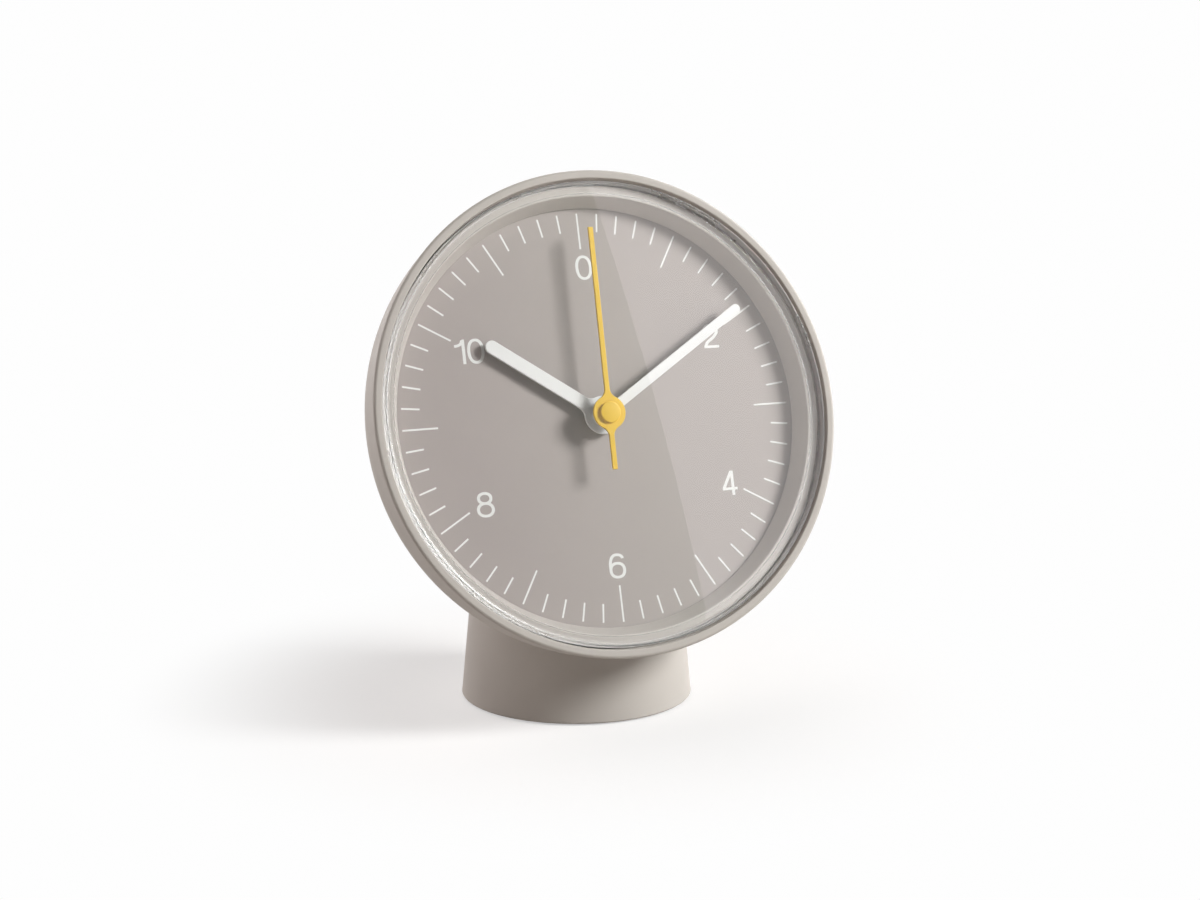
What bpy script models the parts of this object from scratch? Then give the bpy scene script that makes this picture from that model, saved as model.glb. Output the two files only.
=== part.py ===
"""Table clock: a bowl-shaped case that leans back on a low cone foot, with a quartz movement inside.

Metres, +Z up. The origin is the centre of the underside, and the dial faces -Y.
The pieces of the clock head are placed in the dial's own frame, which an empty carries: X to the
right, Y towards twelve o'clock, Z out of the dial towards the viewer, zero on the dial's face.
"""

import math

import bmesh
import bpy
from mathutils import Matrix, Vector

# Stance
TILT = math.radians(17.9)
DIAL_FORWARD = 0.01736
RIM_HEIGHT = 0.0163

# Clearances
SEAT_GAP = 0.0003
RUN_GAP = 0.00025
OVERRUN = 0.002
MERGE_DISTANCE = 0.000001

# Case: lip, side wall, bowl and the round recess in its back
LIP_RADIUS = 0.0661
LIP_HEIGHT = 0.00988
CASE_WALL = 0.0024
LIP_OUTER_ROUND = 0.0009
LIP_INNER_ROUND = 0.0004
CASE_TAPER = math.radians(5.36)
BOWL_START = 0.0005
BOWL_RADIUS = 0.0325
SHELF_WIDTH = 0.0045
SHELF_THICK = 0.0018
RECESS_RADIUS = 0.0395
RECESS_ROUND = 0.0012
RECESS_WALL = 0.002
LEDGE_WIDTH = 0.003
LEDGE_THICK = 0.0026
CASE_STEPS = 48
BOWL_STEPS = 6
LIP_OUTER_STEPS = 2
LIP_INNER_STEPS = 1
RECESS_STEPS = 2

# Dial, ring and lens
DIAL_THICK = 0.0015
RING_FLARE = 0.002
RING_INSET = 0.00885
RING_RISE = 0.005
RING_THICK = 0.0015
RING_TOP = 0.0007
LENS_FLANGE_THICK = 0.00126
CROWN_INSET = 0.0042
CROWN_WALL = 0.0018
CROWN_RISE = 0.0009
CROWN_ROUND = 0.0004
LENS_DOME = 0.0015
LENS_THICK = 0.0011
LENS_STEPS = 48
DOME_STEPS = 2
LUG_COUNT = 3
LUG_LENGTH = 0.007
LUG_WIDTH = 0.001
LUG_RISE = 0.0005

# Hands
HOUR_ANGLE = math.radians(-304.6)
MINUTE_ANGLE = math.radians(-57.7)
SECOND_ANGLE = math.radians(-0.8)
HOUR_TIP_GAP = 0.01965
HOUR_WIDTH = 0.00365
HOUR_HUB = 0.0052
HOUR_THICK = 0.0009
HOUR_LEVEL = 0.0018
MINUTE_TIP_GAP = 0.00635
MINUTE_WIDTH = 0.0027
MINUTE_HUB = 0.0038
MINUTE_THICK = 0.0007
MINUTE_LEVEL = 0.0043
SECOND_TIP_GAP = 0.00655
SECOND_TAIL = 0.0154
SECOND_WIDTH = 0.0014
SECOND_HUB = 0.0046
SECOND_THICK = 0.0005
SECOND_LEVEL = 0.0067
SECOND_CAP_RADIUS = 0.0029
SECOND_CAP_RISE = 0.0012
SECOND_CAP_ROUND = 0.0003
HAND_FILLET = 0.0028
COLLAR_WALL = 0.0009
COLLAR_DROP = 0.001
HAND_STEPS = 6
CAP_STEPS = 24
CAP_ROUND_STEPS = 2

# Movement housing
MOVEMENT_SIZE = 0.056
MOVEMENT_CORNER = 0.004
MOVEMENT_BACK = 0.0173
WASHER_THICK = 0.0005
WASHER_RADIUS = 0.0095
HOUSING_PLATE = 0.0014
HOUSING_WALL = 0.0013
HOUSING_SPLIT = 0.0085
HOUSING_BACK_WALL = 0.0013
BAY_LIP = 0.00015
BAY_RIB = 0.0017
BAY_RIB_INSET = 0.002
BOSS_RADIUS = 0.0034
BOSS_RISE = 0.0016
NUT_RADIUS = 0.0047
NUT_THICK = 0.001
CORNER_STEPS = 3
NUT_SIDES = 6

# Cell and its contacts
CELL_RADIUS = 0.0071
CELL_BODY = 0.049
CELL_NIPPLE_RADIUS = 0.0026
CELL_NIPPLE = 0.0012
CELL_ROUND = 0.0006
CELL_STEPS = 24
CELL_ROUND_STEPS = 1
CELL_DROP = 0.0186
CONTACT_THICK = 0.0004
CONTACT_WIDTH = 0.008
CONTACT_TOP = 0.0206
CONTACT_BOW = 0.0009

# Arbors
SECOND_ARBOR = 0.0005
MINUTE_BORE = SECOND_ARBOR + RUN_GAP
MINUTE_TUBE = 0.0013
HOUR_BORE = MINUTE_TUBE + RUN_GAP
HOUR_TUBE = 0.0023
BOSS_BORE = HOUR_TUBE + RUN_GAP
PIVOT_RADIUS = 0.00035
PIVOT_HOLE = 0.0005
CUP_WALL = 0.0008
PIVOT_CUP_RISE = 0.0007
HUB_RADIUS = 0.0006
HOUR_RECESS = 0.0003
STUD_RADIUS = 0.0006
PIVOT_STEPS = 8
SHAFT_STEPS = 12
TUBE_STEPS = 16
BOSS_STEPS = 20

# Gear train: tooth counts and centre distances
ROTOR_TEETH = 6
INTERMEDIATE_TEETH = 36
INTERMEDIATE_PINION = 8
SECOND_TEETH = 40
SECOND_PINION = 6
THIRD_TEETH = 48
THIRD_PINION = 6
CENTRE_TEETH = 45
CANNON_TEETH = 8
MOTION_TEETH = 24
MOTION_PINION = 8
HOUR_TEETH = 32
KNOB_TEETH = 8
ROTOR_SPACING = 0.0084
SECOND_SPACING = 0.01008
THIRD_SPACING = 0.0098
MOTION_SPACING = 0.0094
THIRD_DIRECTION = math.radians(60)
INTERMEDIATE_DIRECTION = math.radians(160)
ROTOR_DIRECTION = math.radians(135)
KNOB_DIRECTION = math.radians(-10)
# Tooth shape as shares of the module (addendum, dedendum) and of the pitch arc (root and tip width)
WHEEL_TOOTH_SHARES = (0.85, 1.5, 1.0, 0.20)
PINION_TOOTH_SHARES = (0.8, 1.2, 0.43, 0.14)

# Levels of the train: depth behind the dial's face, front and back of each layer
HOUR_LAYER = (0.0043, 0.0053)
MOTION_PINION_LAYER = (0.0042, 0.0062)
MOTION_LAYER = (0.006, 0.007)
CANNON_LAYER = (0.0058, 0.0073)
CENTRE_LAYER = (0.008, 0.0089)
THIRD_PINION_LAYER = (0.0079, 0.009)
PLATE_LAYER = (0.0093, 0.0099)
THIRD_LAYER = (0.0102, 0.011)
SECOND_PINION_LAYER = (0.0101, 0.0112)
STATOR_LAYER = (0.0114, 0.0121)
INTERMEDIATE_PINION_LAYER = (0.0122, 0.0133)
SECOND_LAYER = (0.0124, 0.0131)
INTERMEDIATE_LAYER = (0.0142, 0.015)
ROTOR_PINION_LAYER = (0.0141, 0.0151)
MAGNET_LAYER = (0.0103, 0.0133)
BOARD_LAYER = (0.0146, 0.0154)
ARBOR_END = 0.01585
ARBOR_FRONT = 0.0043
UPPER_PIVOT = 0.00945

# Middle plate, stator, coil and circuit board, in the dial's frame
PLATE_LEFT = -0.021
PLATE_RIGHT = 0.0164
PLATE_BOTTOM = -0.0086
PLATE_TOP = 0.0174
PLATE_CORNER = 0.002
THIRD_PASSAGE = 0.002
POST_RADIUS = 0.0011
POST_INSET = 0.0018
MAGNET_RADIUS = 0.0029
STATOR_HOLE = 0.0036
STATOR_RING = 0.005
STATOR_ARM = 0.0024
STATOR_LEFT = -0.0246
STATOR_RIGHT = -0.0024
STATOR_TOP = 0.024
STATOR_YOKE_TOP = 0.015
STATOR_YOKE_BOTTOM = 0.0115
COIL_CENTRE = (-0.0135, 0.022)
COIL_DEPTH = 0.0106
COIL_LENGTH = 0.0166
COIL_RADIUS = 0.0031
COIL_FLANGE = 0.0036
COIL_FLANGE_THICK = 0.0008
COIL_BORE = 0.0015
CORE_WIDTH = 0.0022
CORE_THICK = 0.001
BOARD_GAP = 0.001
BOARD_WIDTH = 0.0096
BOARD_CENTRE = 0.0206
BOARD_POST = 0.0015
CRYSTAL_RADIUS = 0.001
CRYSTAL_LENGTH = 0.006
CRYSTAL_PLACE = (0.016, 0.0205)

# Setting knob
KNOB_RADIUS = 0.006
KNOB_RISE = 0.0055
KNOB_SHAFT = 0.0015
KNOB_STEPS = 14
KNOB_GRIPS = 16
KNOB_GRIP_DEPTH = 0.0004

# Rear cover and its screws
COVER_THICK = 0.002
COVER_GAP = 0.0004
COVER_ROOM = 0.00348
WINDOW_RIM = 0.00275
WINDOW_MARGIN = 0.0008
WINDOW_CORNER = 0.002
KNOB_WINDOW = 0.0072
EAR_RADIUS = 0.0034
EAR_INSET = 0.0048
EAR_DIRECTIONS = (math.radians(25), math.radians(155), math.radians(270))
EAR_FLOOR = 0.0005
EAR_STEP = 0.0002

# Screws
SCREW_HEAD = 0.0019
SCREW_HEAD_RISE = 0.0012
SCREW_SHANK = 0.0009
SCREW_SIDES = 10

# Foot
FOOT_RADIUS = 0.03245
FOOT_SLOPE = 0.0938
FOOT_WALL = 0.0024
FOOT_RIM = 0.0004
FOOT_ROUND = 0.0006
FOOT_TOP_INSET = 0.0231
FOOT_BLANK_RISE = 0.0287
FOOT_STEPS = 48
FOOT_ROUND_STEPS = 2
FOOT_SHOULDER = 0.0012
FOOT_SHOULDER_RISE = 0.002
FOOT_SCREW_SPREAD = math.radians(17)
FOOT_SCREW_TURN = math.radians(50)
CASE_BOSS_RADIUS = 0.0032
CASE_BOSS_LENGTH = 0.0075
CASE_BOSS_FLOOR = 0.0015
FOOT_SCREW_HEAD = 0.0026
PAD_THICK = 0.0012
PAD_ROUND = 0.0003
BASE_THICK = 0.002
BASE_INSET = 0.0004

# Derived sizes and levels
DIAL_HEIGHT = LIP_RADIUS + RIM_HEIGHT
RING_RADIUS = LIP_RADIUS - RING_INSET
HOUR_LENGTH = RING_RADIUS - HOUR_TIP_GAP
MINUTE_LENGTH = RING_RADIUS - MINUTE_TIP_GAP
SECOND_LENGTH = RING_RADIUS - SECOND_TIP_GAP
CROWN_RADIUS = LIP_RADIUS - CROWN_INSET
FOOT_TOP_DROP = LIP_RADIUS - FOOT_TOP_INSET
FOOT_HEIGHT = RIM_HEIGHT + FOOT_BLANK_RISE
EAR_CENTRE = RECESS_RADIUS - EAR_INSET
WASHER_FRONT = DIAL_THICK + SEAT_GAP
MOVEMENT_FRONT = WASHER_FRONT + WASHER_THICK + SEAT_GAP
PLATE_INSIDE = MOVEMENT_FRONT + HOUSING_PLATE
BACK_INSIDE = MOVEMENT_BACK - HOUSING_BACK_WALL
HALF_MOVEMENT = MOVEMENT_SIZE / 2
CELL_DEPTH = PLATE_INSIDE + SEAT_GAP + CELL_RADIUS
HALF_ROOM = HALF_MOVEMENT - HOUSING_WALL
BOARD_LENGTH = 2 * (HALF_ROOM - BOARD_GAP)
COVER_SEAT_DEPTH = MOVEMENT_BACK + COVER_ROOM
BAY_TOP = CELL_RADIUS + SEAT_GAP - CELL_DROP
BAY_BOTTOM = -CELL_RADIUS - SEAT_GAP - CELL_DROP
GEAR_ROOM_BOTTOM = BAY_TOP + BAY_RIB
FLANGE_BASE = SEAT_GAP + RING_RISE + RING_TOP + SEAT_GAP
CROWN_BASE = FLANGE_BASE + LENS_FLANGE_THICK
CROWN_TOP = CROWN_BASE + CROWN_RISE
SCREW_HOLE = SCREW_SHANK + RUN_GAP


def side_radius(depth):
    """Outer radius of the tapered side wall, at a depth behind the dial's face."""
    return LIP_RADIUS - (LIP_HEIGHT + depth) * math.tan(CASE_TAPER)


BOWL_CENTRE_RADIUS = side_radius(BOWL_START) - BOWL_RADIUS * math.cos(CASE_TAPER)
BOWL_CENTRE_LEVEL = BOWL_RADIUS * math.sin(CASE_TAPER) - BOWL_START


def bowl_turn(radius, bowl):
    """Angle along the bowl's arc at which it has this radius from the axis."""
    return -math.acos((radius - BOWL_CENTRE_RADIUS) / bowl)


# Back edge of the case, and the cover that lies below it
EDGE_RADIUS = RECESS_RADIUS + RECESS_ROUND
EDGE_TURN = bowl_turn(EDGE_RADIUS, BOWL_RADIUS)
EDGE_LEVEL = BOWL_CENTRE_LEVEL + BOWL_RADIUS * math.sin(EDGE_TURN)
COVER_FRONT = COVER_SEAT_DEPTH + SEAT_GAP
COVER_BACK = COVER_FRONT + COVER_THICK

# Wheel centres in the dial's frame
CENTRE = Vector((0, 0))


def beside(start, distance, direction):
    return start + distance * Vector((math.cos(direction), math.sin(direction)))


THIRD = beside(CENTRE, THIRD_SPACING, THIRD_DIRECTION)
INTERMEDIATE = beside(CENTRE, SECOND_SPACING, INTERMEDIATE_DIRECTION)
ROTOR = beside(INTERMEDIATE, ROTOR_SPACING, ROTOR_DIRECTION)
MOTION = beside(CENTRE, MOTION_SPACING, 0)
KNOB = beside(MOTION, MOTION_SPACING, KNOB_DIRECTION)

# Colour, roughness and metallic value of each material
PALETTE = {
    "case_plastic": ((0.48, 0.45, 0.42), 0.5, 0),
    "dial_print": ((0.45, 0.42, 0.40), 0.6, 0),
    "clear_plastic": ((0.9, 0.93, 0.93), 0.05, 0),
    "hand_white": ((0.85, 0.85, 0.84), 0.4, 0),
    "hand_yellow": ((0.82, 0.5, 0.03), 0.4, 0),
    "movement_plastic": ((0.03, 0.03, 0.03), 0.55, 0),
    "inner_plastic": ((0.75, 0.75, 0.72), 0.5, 0),
    "gear_plastic": ((0.85, 0.84, 0.78), 0.45, 0),
    "brass": ((0.72, 0.5, 0.2), 0.3, 1),
    "steel": ((0.6, 0.6, 0.6), 0.3, 1),
    "copper_wire": ((0.55, 0.18, 0.06), 0.35, 1),
    "board_green": ((0.02, 0.15, 0.05), 0.5, 0),
    "cell_label": ((0.12, 0.12, 0.13), 0.3, 0),
    "rubber": ((0.03, 0.03, 0.03), 0.85, 0),
}


def clear_scene():
    for obj in list(bpy.data.objects):
        bpy.data.objects.remove(obj, do_unlink=True)


clear_scene()
PARTS = bpy.data.collections.new("table_clock")
CUTTERS = bpy.data.collections.new("cutters")
bpy.context.scene.collection.children.link(PARTS)
bpy.context.scene.collection.children.link(CUTTERS)


def material(name):
    found = bpy.data.materials.get(name)
    if found:
        return found
    colour, roughness, metallic = PALETTE[name]
    made = bpy.data.materials.new(name)
    made.use_nodes = True
    shader = made.node_tree.nodes["Principled BSDF"]
    shader.inputs["Base Color"].default_value = (*colour, 1)
    shader.inputs["Roughness"].default_value = roughness
    shader.inputs["Metallic"].default_value = metallic
    return made


HEAD = bpy.data.objects.new("dial_frame", None)
PARTS.objects.link(HEAD)
HEAD.location = (0, -DIAL_FORWARD, DIAL_HEIGHT)
HEAD.rotation_euler = (math.pi / 2 - TILT, 0, 0)


def place(obj, finish=None, parent=HEAD, centre=CENTRE):
    """Puts an object among the parts with its finish, or without one among the cutters."""
    (PARTS if finish else CUTTERS).objects.link(obj)
    obj.parent = parent
    obj.location = (centre[0], centre[1], 0)
    if finish:
        obj.data.materials.append(material(finish))
    else:
        obj.hide_render = True
        obj.display_type = "WIRE"
    return obj


def arc(centre, radius, start, end, steps):
    """Points on an arc, first and last included, with angles measured from +X."""
    turns = [start + (end - start) * step / steps for step in range(steps + 1)]
    return [(centre[0] + radius * math.cos(turn), centre[1] + radius * math.sin(turn)) for turn in turns]


def circle(radius, steps, centre=(0, 0)):
    return arc(centre, radius, 0, 2 * math.pi, steps)[:-1]


def rounded_box(left, right, bottom, top, corner):
    """Outline of a rectangle with round corners."""
    corners = (
        ((right - corner, top - corner), 0),
        ((left + corner, top - corner), math.pi / 2),
        ((left + corner, bottom + corner), math.pi),
        ((right - corner, bottom + corner), 3 * math.pi / 2),
    )
    outline = []
    for centre, start in corners:
        outline += arc(centre, corner, start, start + math.pi / 2, CORNER_STEPS)
    return outline


def turned(name, outline, steps, finish=None, parent=HEAD, centre=CENTRE, ring=False):
    """Turns an outline of (radius, level) points about Z. Its outer side runs from top to bottom."""
    mesh = bpy.data.meshes.new(name)
    count = len(outline)
    edges = [(i, i + 1) for i in range(count - 1)]
    if ring:
        edges.append((count - 1, 0))
    mesh.from_pydata([(radius, 0, level) for radius, level in outline], edges, [])
    obj = place(bpy.data.objects.new(name, mesh), finish, parent, centre)
    screw = obj.modifiers.new("turn", "SCREW")
    screw.axis = "Z"
    screw.angle = 2 * math.pi
    screw.steps = steps
    screw.render_steps = steps
    screw.use_merge_vertices = True
    screw.merge_threshold = MERGE_DISTANCE
    screw.use_smooth_shade = True
    return obj


def disc(name, radius, low, high, steps, finish=None, parent=HEAD, centre=CENTRE):
    outline = [(0, high), (radius, high), (radius, low), (0, low)]
    return turned(name, outline, steps, finish, parent, centre)


def washer(name, inner, outer, low, high, steps, finish=None, centre=CENTRE):
    outline = [(inner, high), (outer, high), (outer, low), (inner, low)]
    return turned(name, outline, steps, finish, HEAD, centre, ring=True)


def slab(name, loops, low, high, finish=None, parent=HEAD, centre=CENTRE):
    """A flat outline, with any inner loops as holes, from one level to another."""
    curve = bpy.data.curves.new(name, "CURVE")
    curve.dimensions = "2D"
    curve.fill_mode = "BOTH"
    curve.extrude = (high - low) / 2
    for loop in loops:
        spline = curve.splines.new("POLY")
        spline.points.add(len(loop) - 1)
        for point, (x, y) in zip(spline.points, loop):
            point.co = (x, y, 0, 1)
        spline.use_cyclic_u = True
    source = bpy.data.objects.new(name + "_outline", curve)
    CUTTERS.objects.link(source)
    bpy.context.view_layer.update()
    graph = bpy.context.evaluated_depsgraph_get()
    mesh = bpy.data.meshes.new_from_object(source.evaluated_get(graph))
    bpy.data.objects.remove(source, do_unlink=True)
    shape = bmesh.new()
    shape.from_mesh(mesh)
    bmesh.ops.remove_doubles(shape, verts=shape.verts, dist=MERGE_DISTANCE)
    bmesh.ops.translate(shape, verts=shape.verts, vec=(0, 0, (low + high) / 2))
    bmesh.ops.recalc_face_normals(shape, faces=shape.faces)
    shape.to_mesh(mesh)
    shape.free()
    mesh.name = name
    mesh.shade_smooth()
    mesh.set_sharp_from_angle(angle=math.radians(30))
    return place(bpy.data.objects.new(name, mesh), finish, parent, centre)


def block(name, low, high, finish=None, parent=HEAD):
    """A box between two corners."""
    shape = bmesh.new()
    bmesh.ops.create_cube(shape, size=1)
    size = Vector(high) - Vector(low)
    middle = (Vector(high) + Vector(low)) / 2
    shape.transform(Matrix.Translation(middle) @ Matrix.Diagonal((*size, 1)))
    mesh = bpy.data.meshes.new(name)
    shape.to_mesh(mesh)
    shape.free()
    return place(bpy.data.objects.new(name, mesh), finish, parent)


def combine(obj, other, operation):
    """Joins another object to this one, cuts it away, or keeps what both share."""
    step = obj.modifiers.new(f"{operation.lower()} {other.name}", "BOOLEAN")
    step.operation = operation
    step.solver = "EXACT"
    step.object = other
    return obj


def join(obj, *others):
    for other in others:
        combine(obj, other, "UNION")
    return obj


def cut(obj, *others):
    for other in others:
        combine(obj, other, "DIFFERENCE")
    return obj


def lay_along(obj, start, direction):
    """Moves a shape turned about Z so that it starts at a point and runs along a direction."""
    obj.rotation_mode = "QUATERNION"
    obj.rotation_quaternion = Vector(direction).to_track_quat("Z", "Y")
    obj.location = start
    return obj


def gather(name, pieces):
    """Puts shapes that lie apart into one, for a single join or cut, in the frame of their parent."""
    bpy.context.view_layer.update()
    graph = bpy.context.evaluated_depsgraph_get()
    shape = bmesh.new()
    for piece in pieces:
        mesh = bpy.data.meshes.new_from_object(piece.evaluated_get(graph))
        mesh.transform(piece.matrix_basis)
        shape.from_mesh(mesh)
        bpy.data.meshes.remove(mesh)
    mesh = bpy.data.meshes.new(name)
    shape.to_mesh(mesh)
    shape.free()
    parent = pieces[0].parent
    for piece in pieces:
        bpy.data.objects.remove(piece, do_unlink=True)
    return place(bpy.data.objects.new(name, mesh), None, parent)


# Case

def bowl_outline(grow):
    """The case's outer side from lip to the flat of its back, moved out by grow."""
    outline = [(LIP_RADIUS + grow, LIP_HEIGHT)]
    outline += arc(
        (BOWL_CENTRE_RADIUS, BOWL_CENTRE_LEVEL),
        BOWL_RADIUS + grow,
        -CASE_TAPER,
        -math.pi / 2,
        BOWL_STEPS + 2,
    )
    return outline


def bowl_solid(name, grow):
    """The filled shape of the case, for cutting the foot to it."""
    outline = bowl_outline(grow)
    return turned(name, [(0, LIP_HEIGHT), *outline, (0, outline[-1][1])], CASE_STEPS)


def case_outline():
    centre = (BOWL_CENTRE_RADIUS, BOWL_CENTRE_LEVEL)
    inner_bowl = BOWL_RADIUS - CASE_WALL
    lip_inner = LIP_RADIUS - CASE_WALL
    tube_radius = RECESS_RADIUS + RECESS_WALL
    shelf_top = -DIAL_THICK - SEAT_GAP
    shelf_outer = side_radius(-shelf_top) - CASE_WALL
    shelf_inner = shelf_outer - SHELF_WIDTH
    shelf_base = shelf_top - SHELF_THICK
    wall_base = side_radius(-shelf_base) - CASE_WALL
    ledge_front = LEDGE_THICK - COVER_SEAT_DEPTH
    ledge_inner = RECESS_RADIUS - LEDGE_WIDTH
    inner_round = (lip_inner + LIP_INNER_ROUND, LIP_HEIGHT - LIP_INNER_ROUND)
    outer_round = (LIP_RADIUS - LIP_OUTER_ROUND, LIP_HEIGHT - LIP_OUTER_ROUND)
    outline = arc(inner_round, LIP_INNER_ROUND, math.pi, math.pi / 2, LIP_INNER_STEPS)
    outline += arc(outer_round, LIP_OUTER_ROUND, math.pi / 2, -CASE_TAPER, LIP_OUTER_STEPS)
    outline += arc(centre, BOWL_RADIUS, -CASE_TAPER, EDGE_TURN, BOWL_STEPS)
    edge = (EDGE_RADIUS, EDGE_LEVEL + RECESS_ROUND)
    outline += arc(edge, RECESS_ROUND, -math.pi / 2, -math.pi, RECESS_STEPS)[1:]
    outline += [(RECESS_RADIUS, -COVER_SEAT_DEPTH), (ledge_inner, -COVER_SEAT_DEPTH)]
    outline += [(ledge_inner, ledge_front), (tube_radius, ledge_front)]
    inside = arc(centre, inner_bowl, bowl_turn(tube_radius, inner_bowl), -CASE_TAPER, BOWL_STEPS - 1)
    outline += [point for point in inside if point[1] < shelf_base]
    outline += [(wall_base, shelf_base), (shelf_inner, shelf_base)]
    outline += [(shelf_inner, shelf_top), (shelf_outer, shelf_top)]
    return outline


def foot_screw_places():
    """Start and outward direction of each screw between bowl and foot, on the bowl's outside."""
    for side in (-1, 1):
        turn = side * FOOT_SCREW_SPREAD
        radius = BOWL_CENTRE_RADIUS + BOWL_RADIUS * math.cos(FOOT_SCREW_TURN)
        level = BOWL_CENTRE_LEVEL - BOWL_RADIUS * math.sin(FOOT_SCREW_TURN)
        outward = Vector((math.sin(turn), -math.cos(turn), 0))
        start = radius * outward + Vector((0, 0, level))
        normal = outward * math.cos(FOOT_SCREW_TURN) - Vector((0, 0, math.sin(FOOT_SCREW_TURN)))
        yield start, normal


def ear_places():
    return [beside(CENTRE, EAR_CENTRE, direction) for direction in EAR_DIRECTIONS]


def make_case():
    case = turned("case_shell", case_outline(), CASE_STEPS, "case_plastic", ring=True)
    seat = -COVER_SEAT_DEPTH
    front = LEDGE_THICK - COVER_SEAT_DEPTH
    joined = []
    holes = []
    for spot in ear_places():
        joined.append(disc("ear", EAR_RADIUS, seat + EAR_STEP, front - EAR_STEP, BOSS_STEPS, centre=spot))
        hole = disc("ear_hole", SCREW_HOLE, seat - OVERRUN, front - EAR_FLOOR, SCREW_SIDES, centre=spot)
        holes.append(hole)
    for start, normal in foot_screw_places():
        boss = disc("case_boss", CASE_BOSS_RADIUS, -CASE_BOSS_LENGTH, -CASE_WALL / 2, BOSS_STEPS)
        joined.append(lay_along(boss, start, normal))
        hole = disc("boss_hole", SCREW_HOLE, CASE_BOSS_FLOOR - CASE_BOSS_LENGTH, OVERRUN, SCREW_SIDES)
        holes.append(lay_along(hole, start, normal))
    join(case, gather("ears_and_bosses", joined))
    return cut(case, gather("case_screw_holes", holes))


# Dial, ring and lens

def make_dial():
    radius = side_radius(DIAL_THICK) - CASE_WALL - SEAT_GAP
    hole = BOSS_RADIUS + SEAT_GAP
    return washer("dial_plate", hole, radius, -DIAL_THICK, 0, CASE_STEPS, "dial_print")


def make_ring():
    """The sloping ring between dial and lens, with the flange that carries the lens."""
    flange = side_radius(0) - CASE_WALL - SEAT_GAP
    top = SEAT_GAP + RING_RISE + RING_TOP
    flange_base = top - RING_THICK
    slope_top = RING_RADIUS + RING_FLARE
    outline = [
        (slope_top + RING_TOP / 2, top),
        (flange, top),
        (flange, flange_base),
        (slope_top + RING_THICK, flange_base),
        (RING_RADIUS + RING_THICK, SEAT_GAP),
        (RING_RADIUS, SEAT_GAP),
        (slope_top, SEAT_GAP + RING_RISE),
    ]
    return turned("dial_ring", outline, CASE_STEPS, "case_plastic", ring=True)


def make_lens():
    """Clear cap: flat flange, raised crown and a slightly domed window."""
    flange = side_radius(-FLANGE_BASE) - CASE_WALL - SEAT_GAP
    window = CROWN_RADIUS - CROWN_ROUND
    inner = CROWN_RADIUS - CROWN_WALL
    dome_radius = (window**2 + LENS_DOME**2) / (2 * LENS_DOME)

    def dome(radius, drop):
        return CROWN_TOP + LENS_DOME - drop - dome_radius + math.sqrt(dome_radius**2 - radius**2)

    shares = [step / DOME_STEPS for step in range(DOME_STEPS + 1)]
    outline = [(window * share, dome(window * share, 0)) for share in shares]
    outline += [(CROWN_RADIUS, CROWN_TOP - CROWN_ROUND), (CROWN_RADIUS, CROWN_BASE)]
    outline += [(flange, CROWN_BASE), (flange, FLANGE_BASE), (inner, FLANGE_BASE)]
    outline += [(inner * share, dome(inner * share, LENS_THICK)) for share in reversed(shares)]
    lens = turned("lens", outline, LENS_STEPS, "clear_plastic")
    for number in range(LUG_COUNT):
        lug = block(
            f"lug_{number}",
            (CROWN_RADIUS - CROWN_ROUND, -LUG_LENGTH / 2, FLANGE_BASE + LENS_FLANGE_THICK / 2),
            (CROWN_RADIUS + LUG_WIDTH, LUG_LENGTH / 2, CROWN_BASE + LUG_RISE),
        )
        lug.rotation_euler = (0, 0, math.pi / 2 + number * 2 * math.pi / LUG_COUNT)
        join(lens, lug)
    return lens


# Hands

def blade_side(hub, width, length, fillet, round_tip):
    """Right side of a hand along +Y: from the hub, through the fillet, to the middle of the tip."""
    half = width / 2
    rise = math.sqrt((hub + fillet) ** 2 - (half + fillet) ** 2)
    lean = math.atan2(rise, half + fillet)
    side = arc((half + fillet, rise), fillet, math.pi + lean, math.pi, HAND_STEPS // 2)
    if round_tip:
        side += arc((0, length - half), half, 0, math.pi / 2, HAND_STEPS // 2)
    else:
        side += [(half, length)]
    return side, lean


def hand_outline(hub, width, length, fillet, round_tip, tail=0):
    right, lean = blade_side(hub, width, length, fillet, round_tip)
    left = [(-x, y) for x, y in reversed(right) if x > 0]
    if not tail:
        return right + left + arc((0, 0), hub, math.pi - lean, 2 * math.pi + lean, 3 * HAND_STEPS)[1:-1]
    low, low_lean = blade_side(hub, width, tail, fillet, round_tip)
    low_left = [(-x, -y) for x, y in low]
    low_right = [(x, -y) for x, y in reversed(low) if x > 0]
    left_arc = arc((0, 0), hub, math.pi - lean, math.pi + low_lean, HAND_STEPS)[1:-1]
    right_arc = arc((0, 0), hub, -low_lean, lean, HAND_STEPS)[1:-1]
    return right + left + left_arc + low_left + low_right + right_arc


def make_hour_hand():
    outline = hand_outline(HOUR_HUB, HOUR_WIDTH, HOUR_LENGTH, HAND_FILLET, True)
    bore = circle(HOUR_TUBE + RUN_GAP, TUBE_STEPS)
    hand = slab("hour_hand", [outline, bore], HOUR_LEVEL, HOUR_LEVEL + HOUR_THICK, "hand_white")
    hand.rotation_euler = (0, 0, HOUR_ANGLE)
    return hand


def make_minute_hand():
    outline = hand_outline(MINUTE_HUB, MINUTE_WIDTH, MINUTE_LENGTH, HAND_FILLET, True)
    radius = MINUTE_TUBE + RUN_GAP
    low = MINUTE_LEVEL - COLLAR_DROP
    high = MINUTE_LEVEL + MINUTE_THICK
    hand = slab("minute_hand", [outline], MINUTE_LEVEL, high, "hand_white")
    hand.rotation_euler = (0, 0, MINUTE_ANGLE)
    collar = disc("minute_collar", radius + COLLAR_WALL, low, high - MINUTE_THICK / 2, TUBE_STEPS)
    bore = disc("minute_hand_bore", radius, low - OVERRUN, high + OVERRUN, TUBE_STEPS)
    return cut(join(hand, collar), bore)


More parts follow.
